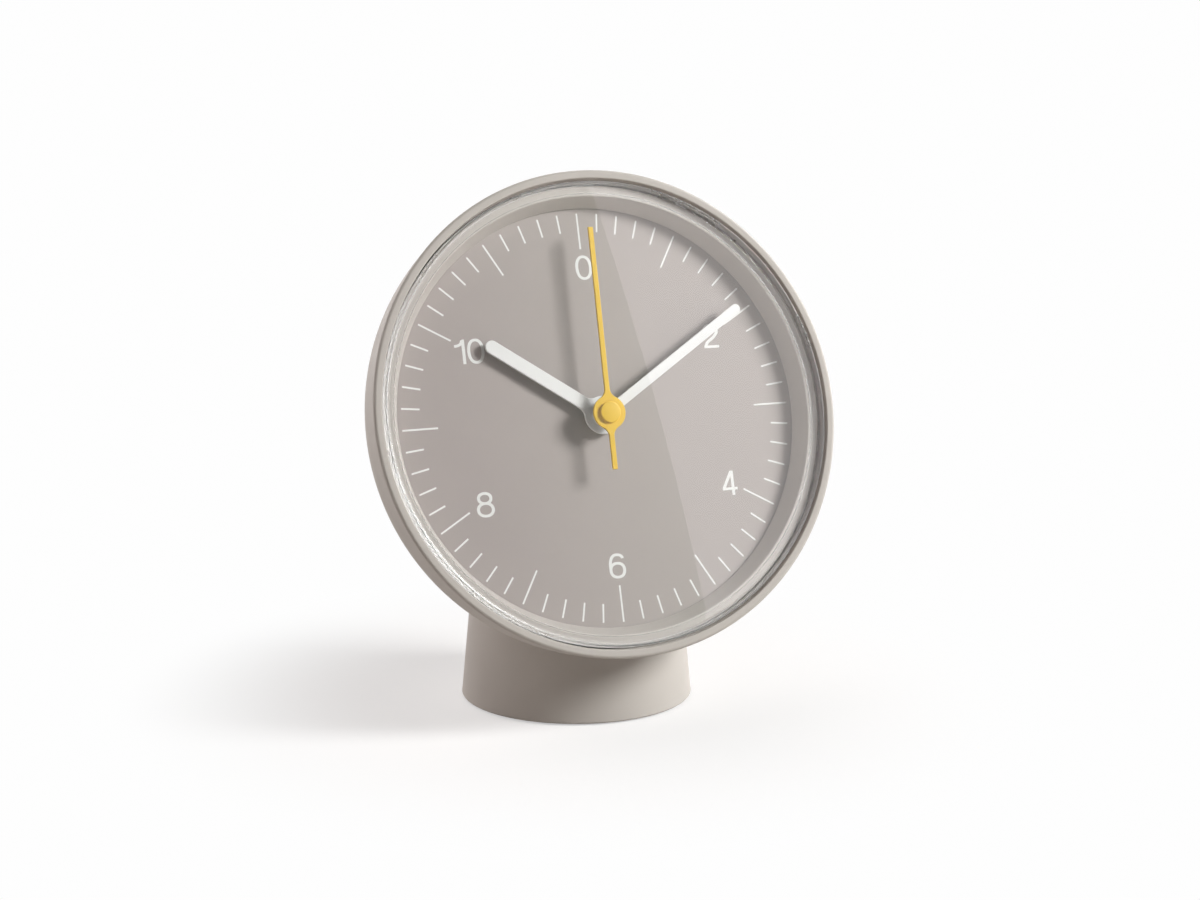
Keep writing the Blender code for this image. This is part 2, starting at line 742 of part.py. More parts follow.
def make_second_hand():
    """Blade, tail and flange in one, with the raised round cap and the collar for the arbor."""
    outline = hand_outline(SECOND_HUB, SECOND_WIDTH, SECOND_LENGTH, HAND_FILLET, False, SECOND_TAIL)
    low = SECOND_LEVEL
    top = low + SECOND_THICK
    hand = slab("second_hand", [outline], low, top, "hand_yellow")
    hand.rotation_euler = (0, 0, SECOND_ANGLE)
    rim = (SECOND_CAP_RADIUS - SECOND_CAP_ROUND, top + SECOND_CAP_RISE - SECOND_CAP_ROUND)
    cap_outline = [(0, top + SECOND_CAP_RISE)]
    cap_outline += arc(rim, SECOND_CAP_ROUND, math.pi / 2, 0, CAP_ROUND_STEPS)
    cap_outline += [(SECOND_CAP_RADIUS, low + SECOND_THICK / 2), (0, low + SECOND_THICK / 2)]
    cap = turned("second_cap", cap_outline, CAP_STEPS)
    bore = SECOND_ARBOR + RUN_GAP
    base = low - COLLAR_DROP
    collar = disc("second_collar", bore + COLLAR_WALL, base, low + SECOND_THICK / 2, TUBE_STEPS)
    hole = disc("second_bore", bore, base - OVERRUN, top, SHAFT_STEPS)
    return cut(join(hand, cap, collar), hole)


# Gears

def gear_outline(teeth, module, shares, phase):
    """Straight-flanked teeth about the origin, one of them centred on the phase angle.

    A root width of a whole pitch leaves one point between two teeth.
    """
    addendum, dedendum, root_share, tip_share = shares
    pitch = 2 * math.pi / teeth
    root = module * teeth / 2 - dedendum * module
    tip = module * teeth / 2 + addendum * module
    half_root = root_share * pitch / 2
    half_tip = tip_share * pitch / 2
    flanks = [(root, -half_root), (tip, -half_tip), (tip, half_tip)]
    if root_share < 1:
        flanks.append((root, half_root))
    outline = []
    for number in range(teeth):
        middle = phase + number * pitch
        for radius, turn in flanks:
            outline.append((radius * math.cos(middle + turn), radius * math.sin(middle + turn)))
    return outline


def meshed_phase(phase, teeth, driven_teeth, direction):
    """Phase of a gear whose gaps meet the teeth of a neighbour that lies opposite to direction."""
    pitch = 2 * math.pi / teeth
    lead = math.remainder(phase - direction, pitch)
    return direction + math.pi + math.pi / driven_teeth - lead * teeth / driven_teeth


def module_for(spacing, teeth, other_teeth):
    return 2 * spacing / (teeth + other_teeth)


def layer(name, outline, depths, finish=None, centre=CENTRE, hole=0):
    """A slab between two depths behind the dial's face."""
    loops = [outline, circle(hole, TUBE_STEPS)] if hole else [outline]
    return slab(name, loops, -depths[1], -depths[0], finish, HEAD, centre)


def arbor(name, radius, front, end, centre=CENTRE, steps=PIVOT_STEPS):
    return disc(name, radius, -end, -front, steps, centre=centre)


def hub_between(name, pinion_layer, wheel_layer, centre=CENTRE):
    front = pinion_layer[0] + SEAT_GAP
    return arbor(name, HUB_RADIUS, front, wheel_layer[0] + SEAT_GAP, centre, SHAFT_STEPS)


ROTOR_MODULE = module_for(ROTOR_SPACING, ROTOR_TEETH, INTERMEDIATE_TEETH)
FAST_MODULE = module_for(SECOND_SPACING, INTERMEDIATE_PINION, SECOND_TEETH)
SECOND_MODULE = module_for(THIRD_SPACING, SECOND_PINION, THIRD_TEETH)
THIRD_MODULE = module_for(THIRD_SPACING, THIRD_PINION, CENTRE_TEETH)
CANNON_MODULE = module_for(MOTION_SPACING, CANNON_TEETH, MOTION_TEETH)
HOUR_MODULE = module_for(MOTION_SPACING, MOTION_PINION, HOUR_TEETH)

INTERMEDIATE_PHASE = meshed_phase(0, ROTOR_TEETH, INTERMEDIATE_TEETH, ROTOR_DIRECTION + math.pi)
SECOND_PHASE = meshed_phase(0, INTERMEDIATE_PINION, SECOND_TEETH, INTERMEDIATE_DIRECTION + math.pi)
THIRD_PHASE = meshed_phase(0, SECOND_PINION, THIRD_TEETH, THIRD_DIRECTION)
CENTRE_PHASE = meshed_phase(0, THIRD_PINION, CENTRE_TEETH, THIRD_DIRECTION + math.pi)
MOTION_PHASE = meshed_phase(0, CANNON_TEETH, MOTION_TEETH, 0)
HOUR_PHASE = meshed_phase(0, MOTION_PINION, HOUR_TEETH, math.pi)
KNOB_PHASE = meshed_phase(MOTION_PHASE, MOTION_TEETH, KNOB_TEETH, KNOB_DIRECTION)


def make_rotor():
    outline = gear_outline(ROTOR_TEETH, ROTOR_MODULE, PINION_TOOTH_SHARES, 0)
    rotor = layer("rotor", outline, ROTOR_PINION_LAYER, "steel", ROTOR)
    magnet = arbor("magnet", MAGNET_RADIUS, *MAGNET_LAYER, ROTOR, BOSS_STEPS)
    shaft = arbor("rotor_shaft", PIVOT_RADIUS, UPPER_PIVOT, ARBOR_END, ROTOR)
    return join(rotor, magnet, shaft)


def make_intermediate():
    wheel_outline = gear_outline(
        INTERMEDIATE_TEETH, ROTOR_MODULE, WHEEL_TOOTH_SHARES, INTERMEDIATE_PHASE
    )
    pinion_outline = gear_outline(INTERMEDIATE_PINION, FAST_MODULE, PINION_TOOTH_SHARES, 0)
    wheel = layer("intermediate_wheel", wheel_outline, INTERMEDIATE_LAYER, "gear_plastic", INTERMEDIATE)
    pinion = layer("intermediate_pinion", pinion_outline, INTERMEDIATE_PINION_LAYER, centre=INTERMEDIATE)
    hub = hub_between("intermediate_hub", INTERMEDIATE_PINION_LAYER, INTERMEDIATE_LAYER, INTERMEDIATE)
    shaft = arbor("intermediate_shaft", PIVOT_RADIUS, UPPER_PIVOT, ARBOR_END, INTERMEDIATE)
    return join(wheel, pinion, hub, shaft)


def make_second_wheel():
    wheel_outline = gear_outline(SECOND_TEETH, FAST_MODULE, WHEEL_TOOTH_SHARES, SECOND_PHASE)
    pinion_outline = gear_outline(SECOND_PINION, SECOND_MODULE, PINION_TOOTH_SHARES, 0)
    wheel = layer("second_wheel", wheel_outline, SECOND_LAYER, "gear_plastic")
    pinion = layer("second_pinion", pinion_outline, SECOND_PINION_LAYER)
    hub = hub_between("second_wheel_hub", SECOND_PINION_LAYER, SECOND_LAYER)
    front = -SECOND_LEVEL - SECOND_THICK + SEAT_GAP
    shaft = arbor("second_shaft", SECOND_ARBOR, front, ARBOR_END)
    return join(wheel, pinion, hub, shaft)


def make_third_wheel():
    wheel_outline = gear_outline(THIRD_TEETH, SECOND_MODULE, WHEEL_TOOTH_SHARES, THIRD_PHASE)
    pinion_outline = gear_outline(THIRD_PINION, THIRD_MODULE, PINION_TOOTH_SHARES, 0)
    wheel = layer("third_wheel", wheel_outline, THIRD_LAYER, "gear_plastic", THIRD)
    pinion = layer("third_pinion", pinion_outline, THIRD_PINION_LAYER, centre=THIRD)
    hub = hub_between("third_hub", THIRD_PINION_LAYER, THIRD_LAYER, THIRD)
    shaft = arbor("third_shaft", PIVOT_RADIUS, ARBOR_FRONT, ARBOR_END, THIRD)
    return join(wheel, pinion, hub, shaft)


def make_centre_wheel():
    outline = gear_outline(CENTRE_TEETH, THIRD_MODULE, WHEEL_TOOTH_SHARES, CENTRE_PHASE)
    return layer("centre_wheel", outline, CENTRE_LAYER, "brass", hole=MINUTE_TUBE + RUN_GAP)


def make_minute_arbor():
    """Cannon pinion and the tube that carries the minute hand."""
    outline = gear_outline(CANNON_TEETH, CANNON_MODULE, PINION_TOOTH_SHARES, 0)
    pinion = layer("minute_arbor", outline, CANNON_LAYER, "brass")
    front = -MINUTE_LEVEL - MINUTE_THICK + SEAT_GAP
    end = PLATE_LAYER[0] - SEAT_GAP
    tube = arbor("minute_tube", MINUTE_TUBE, front, end, steps=TUBE_STEPS)
    bore = arbor("minute_bore", MINUTE_BORE, front - OVERRUN, end + OVERRUN, steps=SHAFT_STEPS)
    return cut(join(pinion, tube), bore)


def make_motion_wheel():
    wheel_outline = gear_outline(MOTION_TEETH, CANNON_MODULE, WHEEL_TOOTH_SHARES, MOTION_PHASE)
    pinion_outline = gear_outline(MOTION_PINION, HOUR_MODULE, PINION_TOOTH_SHARES, 0)
    wheel = layer("motion_wheel", wheel_outline, MOTION_LAYER, "gear_plastic", MOTION)
    pinion = layer("motion_pinion", pinion_outline, MOTION_PINION_LAYER, centre=MOTION)
    end = MOTION_LAYER[1] + OVERRUN
    bore = arbor("motion_bore", STUD_RADIUS + RUN_GAP / 2, PLATE_INSIDE, end, MOTION, SHAFT_STEPS)
    return cut(join(wheel, pinion), bore)


def make_hour_wheel():
    outline = gear_outline(HOUR_TEETH, HOUR_MODULE, WHEEL_TOOTH_SHARES, HOUR_PHASE)
    wheel = layer("hour_wheel", outline, HOUR_LAYER, "gear_plastic")
    front = -HOUR_LEVEL - HOUR_THICK + SEAT_GAP / 2
    tube = arbor("hour_tube", HOUR_TUBE, front, HOUR_LAYER[1] - HOUR_RECESS, steps=TUBE_STEPS)
    bore = arbor("hour_bore", HOUR_BORE, front - OVERRUN, HOUR_LAYER[1] + OVERRUN, steps=TUBE_STEPS)
    return cut(join(wheel, tube), bore)


def make_knob():
    """Ribbed thumb wheel behind the movement, its shaft and the pinion that turns the motion work."""
    grips = []
    for number in range(KNOB_GRIPS):
        turn = 2 * math.pi * number / KNOB_GRIPS
        half = math.pi / KNOB_GRIPS
        groove = KNOB_RADIUS - KNOB_GRIP_DEPTH
        for radius, lead in ((KNOB_RADIUS, -half / 2), (KNOB_RADIUS, half / 2), (groove, half)):
            grips.append((radius * math.cos(turn + lead), radius * math.sin(turn + lead)))
    knob_front = MOVEMENT_BACK + SEAT_GAP
    knob = layer("setting_knob", grips, (knob_front, knob_front + KNOB_RISE), "movement_plastic", KNOB)
    shaft_front = CANNON_LAYER[1] - SEAT_GAP
    shaft = arbor("knob_shaft", KNOB_SHAFT, shaft_front, knob_front + SEAT_GAP, KNOB, KNOB_STEPS)
    outline = gear_outline(KNOB_TEETH, CANNON_MODULE, PINION_TOOTH_SHARES, KNOB_PHASE)
    pinion = layer("knob_pinion", outline, CANNON_LAYER, centre=KNOB)
    pivot = arbor("knob_pivot", STUD_RADIUS, ARBOR_FRONT, CANNON_LAYER[1], KNOB)
    return join(knob, shaft, pinion, pivot)


# Movement housing

def housing_outline():
    return rounded_box(-HALF_MOVEMENT, HALF_MOVEMENT, -HALF_MOVEMENT, HALF_MOVEMENT, MOVEMENT_CORNER)


def housing_room(name, low, high):
    """Room of the train and bay of the cell, with the rib between them left standing.

    The rib stops short of the side walls, where the contact strips pass it.
    """
    room = rounded_box(-HALF_ROOM, HALF_ROOM, BAY_BOTTOM, HALF_ROOM, MOVEMENT_CORNER - HOUSING_WALL)
    end = HALF_ROOM - BAY_RIB_INSET
    rib = [(-end, BAY_TOP), (end, BAY_TOP), (end, GEAR_ROOM_BOTTOM), (-end, GEAR_ROOM_BOTTOM)]
    return slab(name, [room, rib], low, high)


def post_places():
    """Posts that carry the middle plate."""
    left = PLATE_LEFT + POST_INSET
    right = PLATE_RIGHT - POST_INSET
    top = PLATE_TOP - POST_INSET
    return (left, PLATE_BOTTOM + POST_INSET), (left, top), (right, top)


def make_movement_front():
    """Front half: plate, walls, threaded boss, posts, the motion wheel's stud and two bearing cups."""
    root = MOVEMENT_FRONT + SEAT_GAP
    front = slab("movement_front", [housing_outline()], -HOUSING_SPLIT, -MOVEMENT_FRONT, "movement_plastic")
    cut(front, housing_room("front_room", -HOUSING_SPLIT - OVERRUN, -PLATE_INSIDE))
    cups = ((THIRD, PIVOT_HOLE), (KNOB, STUD_RADIUS + RUN_GAP))
    rise = ARBOR_FRONT + SEAT_GAP
    standing = [disc("boss", BOSS_RADIUS, -root, BOSS_RISE, BOSS_STEPS)]
    post_end = PLATE_LAYER[0] - SEAT_GAP
    standing += [arbor("post", POST_RADIUS, root, post_end, spot) for spot in post_places()]
    standing.append(arbor("stud", STUD_RADIUS, root, CANNON_LAYER[1], MOTION, SHAFT_STEPS))
    standing += [arbor("cup", hole + CUP_WALL, root, rise, spot, SHAFT_STEPS) for spot, hole in cups]
    holes = [disc("boss_bore", BOSS_BORE, -PLATE_INSIDE - OVERRUN, BOSS_RISE + OVERRUN, BOSS_STEPS)]
    holes += [arbor("cup_bore", hole, PLATE_INSIDE, rise + OVERRUN, spot) for spot, hole in cups]
    join(front, gather("front_standing", standing))
    return cut(front, gather("front_holes", holes))


def make_movement_back():
    """Rear half: walls and back of the gear room, the open cell bay and the arbors' rear cups."""
    high = -HOUSING_SPLIT - SEAT_GAP
    root = BACK_INSIDE + SEAT_GAP
    back = slab("movement_back", [housing_outline()], -MOVEMENT_BACK, high, "movement_plastic")
    cut(back, housing_room("back_room", -BACK_INSIDE, high + OVERRUN))
    opening = block(
        "bay_opening",
        (BAY_LIP - HALF_ROOM, BAY_BOTTOM + BAY_LIP, -MOVEMENT_BACK - OVERRUN),
        (HALF_ROOM - BAY_LIP, BAY_TOP - BAY_LIP, OVERRUN - BACK_INSIDE),
    )
    cut(back, opening)
    cups = ((CENTRE, MINUTE_BORE), (THIRD, PIVOT_HOLE), (INTERMEDIATE, PIVOT_HOLE), (ROTOR, PIVOT_HOLE))
    rise = BACK_INSIDE - PIVOT_CUP_RISE
    standing = [arbor("cup", hole + CUP_WALL, rise, root, spot, SHAFT_STEPS) for spot, hole in cups]
    for side in (-1, 1):
        spot = (side * BOARD_LENGTH / 3, BOARD_CENTRE)
        standing.append(arbor("board_post", BOARD_POST, BOARD_LAYER[1] + SEAT_GAP, root, spot))
    holes = [arbor("cup_bore", hole, rise - OVERRUN, BACK_INSIDE, spot) for spot, hole in cups]
    end = MOVEMENT_BACK + OVERRUN
    holes.append(arbor("knob_hole", KNOB_SHAFT + SEAT_GAP, rise, end, KNOB, KNOB_STEPS))
    join(back, gather("back_standing", standing))
    return cut(back, gather("back_holes", holes))


def make_middle_plate():
    outline = rounded_box(PLATE_LEFT, PLATE_RIGHT, PLATE_BOTTOM, PLATE_TOP, PLATE_CORNER)
    holes = [
        circle(MINUTE_BORE, SHAFT_STEPS),
        circle(THIRD_PASSAGE, TUBE_STEPS, THIRD),
        circle(PIVOT_HOLE, PIVOT_STEPS, INTERMEDIATE),
        circle(PIVOT_HOLE, PIVOT_STEPS, ROTOR),
    ]
    return slab("middle_plate", [outline, *holes], -PLATE_LAYER[1], -PLATE_LAYER[0], "inner_plastic")


def make_stator():
    """Laminated plate round the rotor, with an arm up to each end of the coil's core."""
    ring_bottom = ROTOR[1] - STATOR_RING
    ring_right = ROTOR[0] + STATOR_RING
    chamfer = STATOR_RING / 2
    outline = [
        (STATOR_LEFT, STATOR_TOP),
        (STATOR_LEFT, ROTOR[1]),
        (ROTOR[0] - chamfer, ring_bottom),
        (ROTOR[0] + chamfer, ring_bottom),
        (ring_right, ring_bottom + chamfer),
        (ring_right, STATOR_YOKE_BOTTOM),
        (STATOR_RIGHT, STATOR_YOKE_BOTTOM),
        (STATOR_RIGHT, STATOR_TOP),
        (STATOR_RIGHT - STATOR_ARM, STATOR_TOP),
        (STATOR_RIGHT - STATOR_ARM, STATOR_YOKE_TOP),
        (STATOR_LEFT + STATOR_ARM, STATOR_YOKE_TOP),
        (STATOR_LEFT + STATOR_ARM, STATOR_TOP),
    ]
    hole = circle(STATOR_HOLE, BOSS_STEPS, ROTOR)
    return slab("stator", [outline, hole], -STATOR_LAYER[1], -STATOR_LAYER[0], "steel")


def make_coil():
    """Wound bobbin with its two flanges, lying along X."""
    half = COIL_LENGTH / 2
    outline = [
        (COIL_BORE, half),
        (COIL_FLANGE, half),
        (COIL_FLANGE, half - COIL_FLANGE_THICK),
        (COIL_RADIUS, half - COIL_FLANGE_THICK),
        (COIL_RADIUS, COIL_FLANGE_THICK - half),
        (COIL_FLANGE, COIL_FLANGE_THICK - half),
        (COIL_FLANGE, -half),
        (COIL_BORE, -half),
    ]
    coil = turned("coil", outline, BOSS_STEPS, "copper_wire", ring=True)
    return lay_along(coil, (*COIL_CENTRE, -COIL_DEPTH), (1, 0, 0))


def make_core():
    x, y = COIL_CENTRE
    return block(
        "coil_core",
        (STATOR_LEFT, y - CORE_WIDTH / 2, -COIL_DEPTH - CORE_THICK / 2),
        (STATOR_RIGHT, y + CORE_WIDTH / 2, -COIL_DEPTH + CORE_THICK / 2),
        "steel",
    )


def make_board():
    half = BOARD_LENGTH / 2
    low = BOARD_CENTRE - BOARD_WIDTH / 2
    high = BOARD_CENTRE + BOARD_WIDTH / 2
    front, back = BOARD_LAYER
    return block("circuit_board", (-half, low, -back), (half, high, -front), "board_green")


def make_crystal():
    half = CRYSTAL_LENGTH / 2
    can = disc("quartz_crystal", CRYSTAL_RADIUS, -half, half, SHAFT_STEPS, "steel")
    depth = BOARD_LAYER[0] - SEAT_GAP - CRYSTAL_RADIUS
    return lay_along(can, (*CRYSTAL_PLACE, -depth), (1, 0, 0))


def make_nut():
    return slab(
        "dial_nut",
        [circle(NUT_RADIUS, NUT_SIDES), circle(BOSS_RADIUS + RUN_GAP, BOSS_STEPS)],
        SEAT_GAP,
        SEAT_GAP + NUT_THICK,
        "brass",
    )


def make_washer():
    low = -WASHER_FRONT - WASHER_THICK
    hole = BOSS_RADIUS + RUN_GAP
    return washer("rubber_washer", hole, WASHER_RADIUS, low, -WASHER_FRONT, BOSS_STEPS, "rubber")


# Cell and contacts

def make_cell():
    """Round cell lying along X in the bay, with its plus nipple to the right."""
    half = CELL_BODY / 2
    tip = half + CELL_NIPPLE
    outline = [(0, tip), (CELL_NIPPLE_RADIUS, tip), (CELL_NIPPLE_RADIUS, half)]
    side = CELL_RADIUS - CELL_ROUND
    outline += arc((side, half - CELL_ROUND), CELL_ROUND, math.pi / 2, 0, CELL_ROUND_STEPS)
    outline += arc((side, CELL_ROUND - half), CELL_ROUND, 0, -math.pi / 2, CELL_ROUND_STEPS)
    outline += [(0, -half)]
    cell = turned("aa_cell", outline, CELL_STEPS, "cell_label")
    return lay_along(cell, (0, -CELL_DROP, -CELL_DEPTH), (1, 0, 0))


def make_contact(name, side):
    """A sheet strip down the bay's end wall, which bows towards the cell and ends beside the board."""
    wall = HALF_ROOM - SEAT_GAP
    inner = wall - CONTACT_THICK
    reach = CELL_BODY / 2 + SEAT_GAP + (CELL_NIPPLE if side > 0 else 0)
    half = CONTACT_WIDTH / 2
    outline = [
        (wall, -CELL_DROP - half),
        (wall, CONTACT_TOP),
        (inner, CONTACT_TOP),
        (inner, half - CELL_DROP),
        (reach, CONTACT_BOW - CELL_DROP),
        (reach, -CONTACT_BOW - CELL_DROP),
        (inner, -CELL_DROP - half),
    ]
    if side < 0:
        outline = [(-x, y) for x, y in reversed(outline)]
    return slab(name, [outline], -CELL_DEPTH - half, half - CELL_DEPTH, "steel")


# Rear cover and screws

def make_cover():
    """Round cover with a window for the cell, a hole for the knob and three screw holes."""
    radius = RECESS_RADIUS - COVER_GAP
    top = CELL_RADIUS + WINDOW_MARGIN - CELL_DROP
    bottom = -CELL_RADIUS - WINDOW_MARGIN - CELL_DROP
    half = math.sqrt(radius**2 - bottom**2) - WINDOW_RIM
    window = rounded_box(-half, half, bottom, top, WINDOW_CORNER)
    loops = [circle(radius, CASE_STEPS), window, circle(KNOB_WINDOW, TUBE_STEPS, KNOB)]
    loops += [circle(SCREW_HOLE, SCREW_SIDES, spot) for spot in ear_places()]
    return slab("rear_cover", loops, -COVER_BACK, -COVER_FRONT, "case_plastic")


def screw(name, length, head, finish, parent=HEAD):
    """Pan head above zero and plain shank below, along Z."""
    outline = [
        (0, SCREW_HEAD_RISE),
        (head - SCREW_HEAD_RISE / 3, SCREW_HEAD_RISE),
        (head, 0),
        (SCREW_SHANK, 0),
        (SCREW_SHANK, -length),
        (0, -length),
    ]
    return turned(name, outline, SCREW_SIDES, finish, parent)


def make_cover_screws():
    """Three screws from behind, through the cover into the ears of the case."""
    length = COVER_THICK + LEDGE_THICK - EAR_FLOOR
    for number, spot in enumerate(ear_places()):
        piece = screw(f"rear_cover_screw_{number + 1}", length, SCREW_HEAD, "steel")
        lay_along(piece, (*spot, -COVER_BACK - SEAT_GAP), (0, 0, -1))


# Foot

def foot_radius(level):
    return FOOT_RADIUS - (level - FOOT_RIM) * FOOT_SLOPE


def above_foot(name, drop):
    """Everything above the plane that closes the foot behind the bowl, which runs along the case's axis."""
    reach = LIP_RADIUS
    return block(name, (-reach, -drop, -2 * reach), (reach, reach, reach))


BASE_LOW = PAD_THICK + SEAT_GAP
BASE_HIGH = BASE_LOW + BASE_THICK
SHOULDER_LOW = BASE_HIGH + SEAT_GAP
PAD_RADIUS = FOOT_RADIUS - FOOT_WALL - BASE_INSET


def foot_cavity():
    """Inside of the foot: the shoulder that the base plate seats on, and the room up to the saddle."""
    ceiling = FOOT_HEIGHT + OVERRUN
    shoulder_high = SHOULDER_LOW + FOOT_SHOULDER_RISE
    room = turned(
        "foot_room",
        [
            (0, ceiling),
            (foot_radius(ceiling) - FOOT_WALL, ceiling),
            (foot_radius(shoulder_high) - FOOT_WALL, shoulder_high),
            (PAD_RADIUS - FOOT_SHOULDER, SHOULDER_LOW),
            (PAD_RADIUS + BASE_INSET, SHOULDER_LOW),
            (PAD_RADIUS + BASE_INSET, -OVERRUN),
            (0, -OVERRUN),
        ],
        FOOT_STEPS,
        parent=None,
    )
    bowl = bowl_solid("bowl_with_wall", SEAT_GAP + FOOT_WALL)
    return cut(room, bowl, above_foot("above_foot_room", FOOT_TOP_DROP + FOOT_WALL))


def make_foot():
    """Hollow cone whose top is cut to the bowl in front and closed by a plane behind it."""
    edge = (foot_radius(FOOT_RIM) - FOOT_ROUND, FOOT_RIM + FOOT_ROUND)
    outline = [(0, FOOT_HEIGHT), (foot_radius(FOOT_HEIGHT), FOOT_HEIGHT)]
    outline += arc(edge, FOOT_ROUND, -FOOT_SLOPE, -math.pi / 2, FOOT_ROUND_STEPS)
    outline += [(0, FOOT_RIM)]
    foot = turned("foot", outline, FOOT_STEPS, "case_plastic", parent=None)
    cut(foot, bowl_solid("bowl_with_gap", SEAT_GAP), above_foot("above_foot", FOOT_TOP_DROP))
    holes = []
    for start, normal in foot_screw_places():
        hole = disc("foot_hole", SCREW_HOLE, -OVERRUN, 2 * FOOT_WALL, SCREW_SIDES)
        holes.append(lay_along(hole, start, normal))
    return cut(foot, gather("foot_screw_holes", holes), foot_cavity())


def make_foot_screws():
    """Two screws from inside the foot, through its saddle into the bosses of the case."""
    length = FOOT_WALL + SEAT_GAP + CASE_BOSS_LENGTH - 2 * CASE_BOSS_FLOOR
    for number, (start, normal) in enumerate(foot_screw_places()):
        seat = start + normal * (SEAT_GAP + FOOT_WALL + SEAT_GAP)
        lay_along(screw(f"foot_screw_{number + 1}", length, FOOT_SCREW_HEAD, "steel"), seat, normal)


def make_base():
    """Plate that snaps into the foot and closes it."""
    return disc("base_plate", PAD_RADIUS, BASE_LOW, BASE_HIGH, FOOT_STEPS, "inner_plastic", None)


def make_pad():
    """Non-slip disc under the base plate: its underside is what the clock rests on."""
    outline = [(0, PAD_THICK), (PAD_RADIUS, PAD_THICK), (PAD_RADIUS, PAD_ROUND)]
    outline += [(PAD_RADIUS - PAD_ROUND, 0), (0, 0)]
    return turned("base_pad", outline, FOOT_STEPS, "rubber", None)


make_case()
make_dial()
make_ring()
make_lens()
make_hour_hand()
make_minute_hand()
make_second_hand()
make_rotor()
make_intermediate()
make_second_wheel()
make_third_wheel()
make_centre_wheel()
make_minute_arbor()
make_motion_wheel()
make_hour_wheel()
make_knob()
make_movement_front()
make_movement_back()
make_middle_plate()
make_stator()
make_coil()
make_core()
make_board()
make_crystal()
make_nut()
make_washer()
make_cell()
make_contact("contact_positive", 1)
make_contact("contact_negative", -1)
make_cover()
make_cover_screws()
make_foot()
make_foot_screws()
make_base()
make_pad()
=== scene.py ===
import math

import bmesh
import bpy
from mathutils import Matrix, Vector


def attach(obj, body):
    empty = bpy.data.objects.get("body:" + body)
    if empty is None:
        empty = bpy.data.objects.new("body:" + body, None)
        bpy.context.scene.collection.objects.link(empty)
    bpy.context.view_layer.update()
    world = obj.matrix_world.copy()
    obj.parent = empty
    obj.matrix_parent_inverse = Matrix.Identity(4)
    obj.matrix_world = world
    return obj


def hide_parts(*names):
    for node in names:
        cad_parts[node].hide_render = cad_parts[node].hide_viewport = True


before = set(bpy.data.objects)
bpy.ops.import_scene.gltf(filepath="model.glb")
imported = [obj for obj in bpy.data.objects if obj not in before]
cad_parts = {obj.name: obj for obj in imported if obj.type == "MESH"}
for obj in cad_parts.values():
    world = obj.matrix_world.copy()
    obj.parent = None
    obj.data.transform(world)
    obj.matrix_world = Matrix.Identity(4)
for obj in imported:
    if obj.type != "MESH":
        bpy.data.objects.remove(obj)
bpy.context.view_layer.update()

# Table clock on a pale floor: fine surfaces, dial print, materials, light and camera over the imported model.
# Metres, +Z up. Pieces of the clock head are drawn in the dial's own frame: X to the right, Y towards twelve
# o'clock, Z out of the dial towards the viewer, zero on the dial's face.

SCENE = bpy.context.scene
MM = 0.001
DOUBLE_GAP = 0.002 * MM
MERGE_GAP = 0.001 * MM
SHARP_TURN = math.radians(40)
FLAT_FACING = 0.999

# Stance, as in the part
TILT = math.radians(17.9)
DIAL_HEIGHT = 0.0824
DIAL_FORWARD = 0.01736
DIAL = Matrix.Translation((0, -DIAL_FORWARD, DIAL_HEIGHT)) @ Matrix.Rotation(math.pi / 2 - TILT, 4, "X")
WORLD = Matrix.Identity(4)
SEAT_GAP = 0.0003

# Case
LIP_RADIUS = 0.0661
LIP_HEIGHT = 0.00988
CASE_WALL = 0.0024
LIP_OUTER_ROUND = 0.0009
LIP_INNER_ROUND = 0.0004
LIP_OUTER_STEPS = 9
LIP_INNER_STEPS = 5
CASE_TAPER = math.radians(5.36)
BOWL_START = 0.0005
BOWL_RADIUS = 0.0325
SHELF_WIDTH = 0.0045
SHELF_THICK = 0.0018
RECESS_RADIUS = 0.0395
RECESS_ROUND = 0.0012
RECESS_STEPS = 7
RECESS_WALL = 0.002
LEDGE_WIDTH = 0.003
LEDGE_THICK = 0.0026
EDGE_SOFT = 0.00015
EDGE_STEPS = 2
CORNER_ROOM = 2.5
TURN_STEPS = 192
LENS_STEPS = 384
BOWL_STEPS = 36

# Dial, ring and lens
DIAL_THICK = 0.0015
DIAL_HOLE = 0.0037
RING_RADIUS = 0.05725
RING_FLARE = 0.002
RING_RISE = 0.005
RING_THICK = 0.0015
RING_TOP = 0.0007
LENS_FLANGE_THICK = 0.00126
CROWN_RADIUS = 0.0619
CROWN_WALL = 0.0018
CROWN_RISE = 0.0009
CROWN_ROUND = 0.0007
CROWN_STEPS = 6
RIM_WIDTH = 0.00065
RIM_DROP = 0.0002
RIM_ROUND = 0.00022
RIM_STEPS = 5
LENS_DOME = 0.0015
LENS_THICK = 0.0011
DOME_STEPS = 24
LUG_COUNT = 3
LUG_LENGTH = 0.007
LUG_WIDTH = 0.00045
LUG_RISE = 0.0005
LUG_GAP = 0.02 * MM
LUG_EDGE = 0.1 * MM
HAZE_INSET = 0.1 * MM

# Print on the dial
TICK_OUTER = 0.056
TICK_SHORT = 0.0509
TICK_LONG = 0.0461
TICK_WIDTH = 0.0005
TICK_COUNT = 60
TICKS_PER_NUMERAL = 5
PRINT_RISE = 0.00003
PRINT_STEP = 0.000004
STROKE_UPRIGHT = 0.00085
STROKE_LEVEL = 0.00075
# Radius and clockwise degrees of each numeral's centre
NUMERAL_PLACES = {
    "0": (0.04098, 0.45),
    "2": (0.04089, 60.6),
    "4": (0.04170, 120.45),
    "6": (0.04086, 180.0),
    "8": (0.04129, 238.95),
    "10": (0.04026, 299.6),
}
TEN_DIGITS = (("1", -0.0027), ("0", 0.001775))

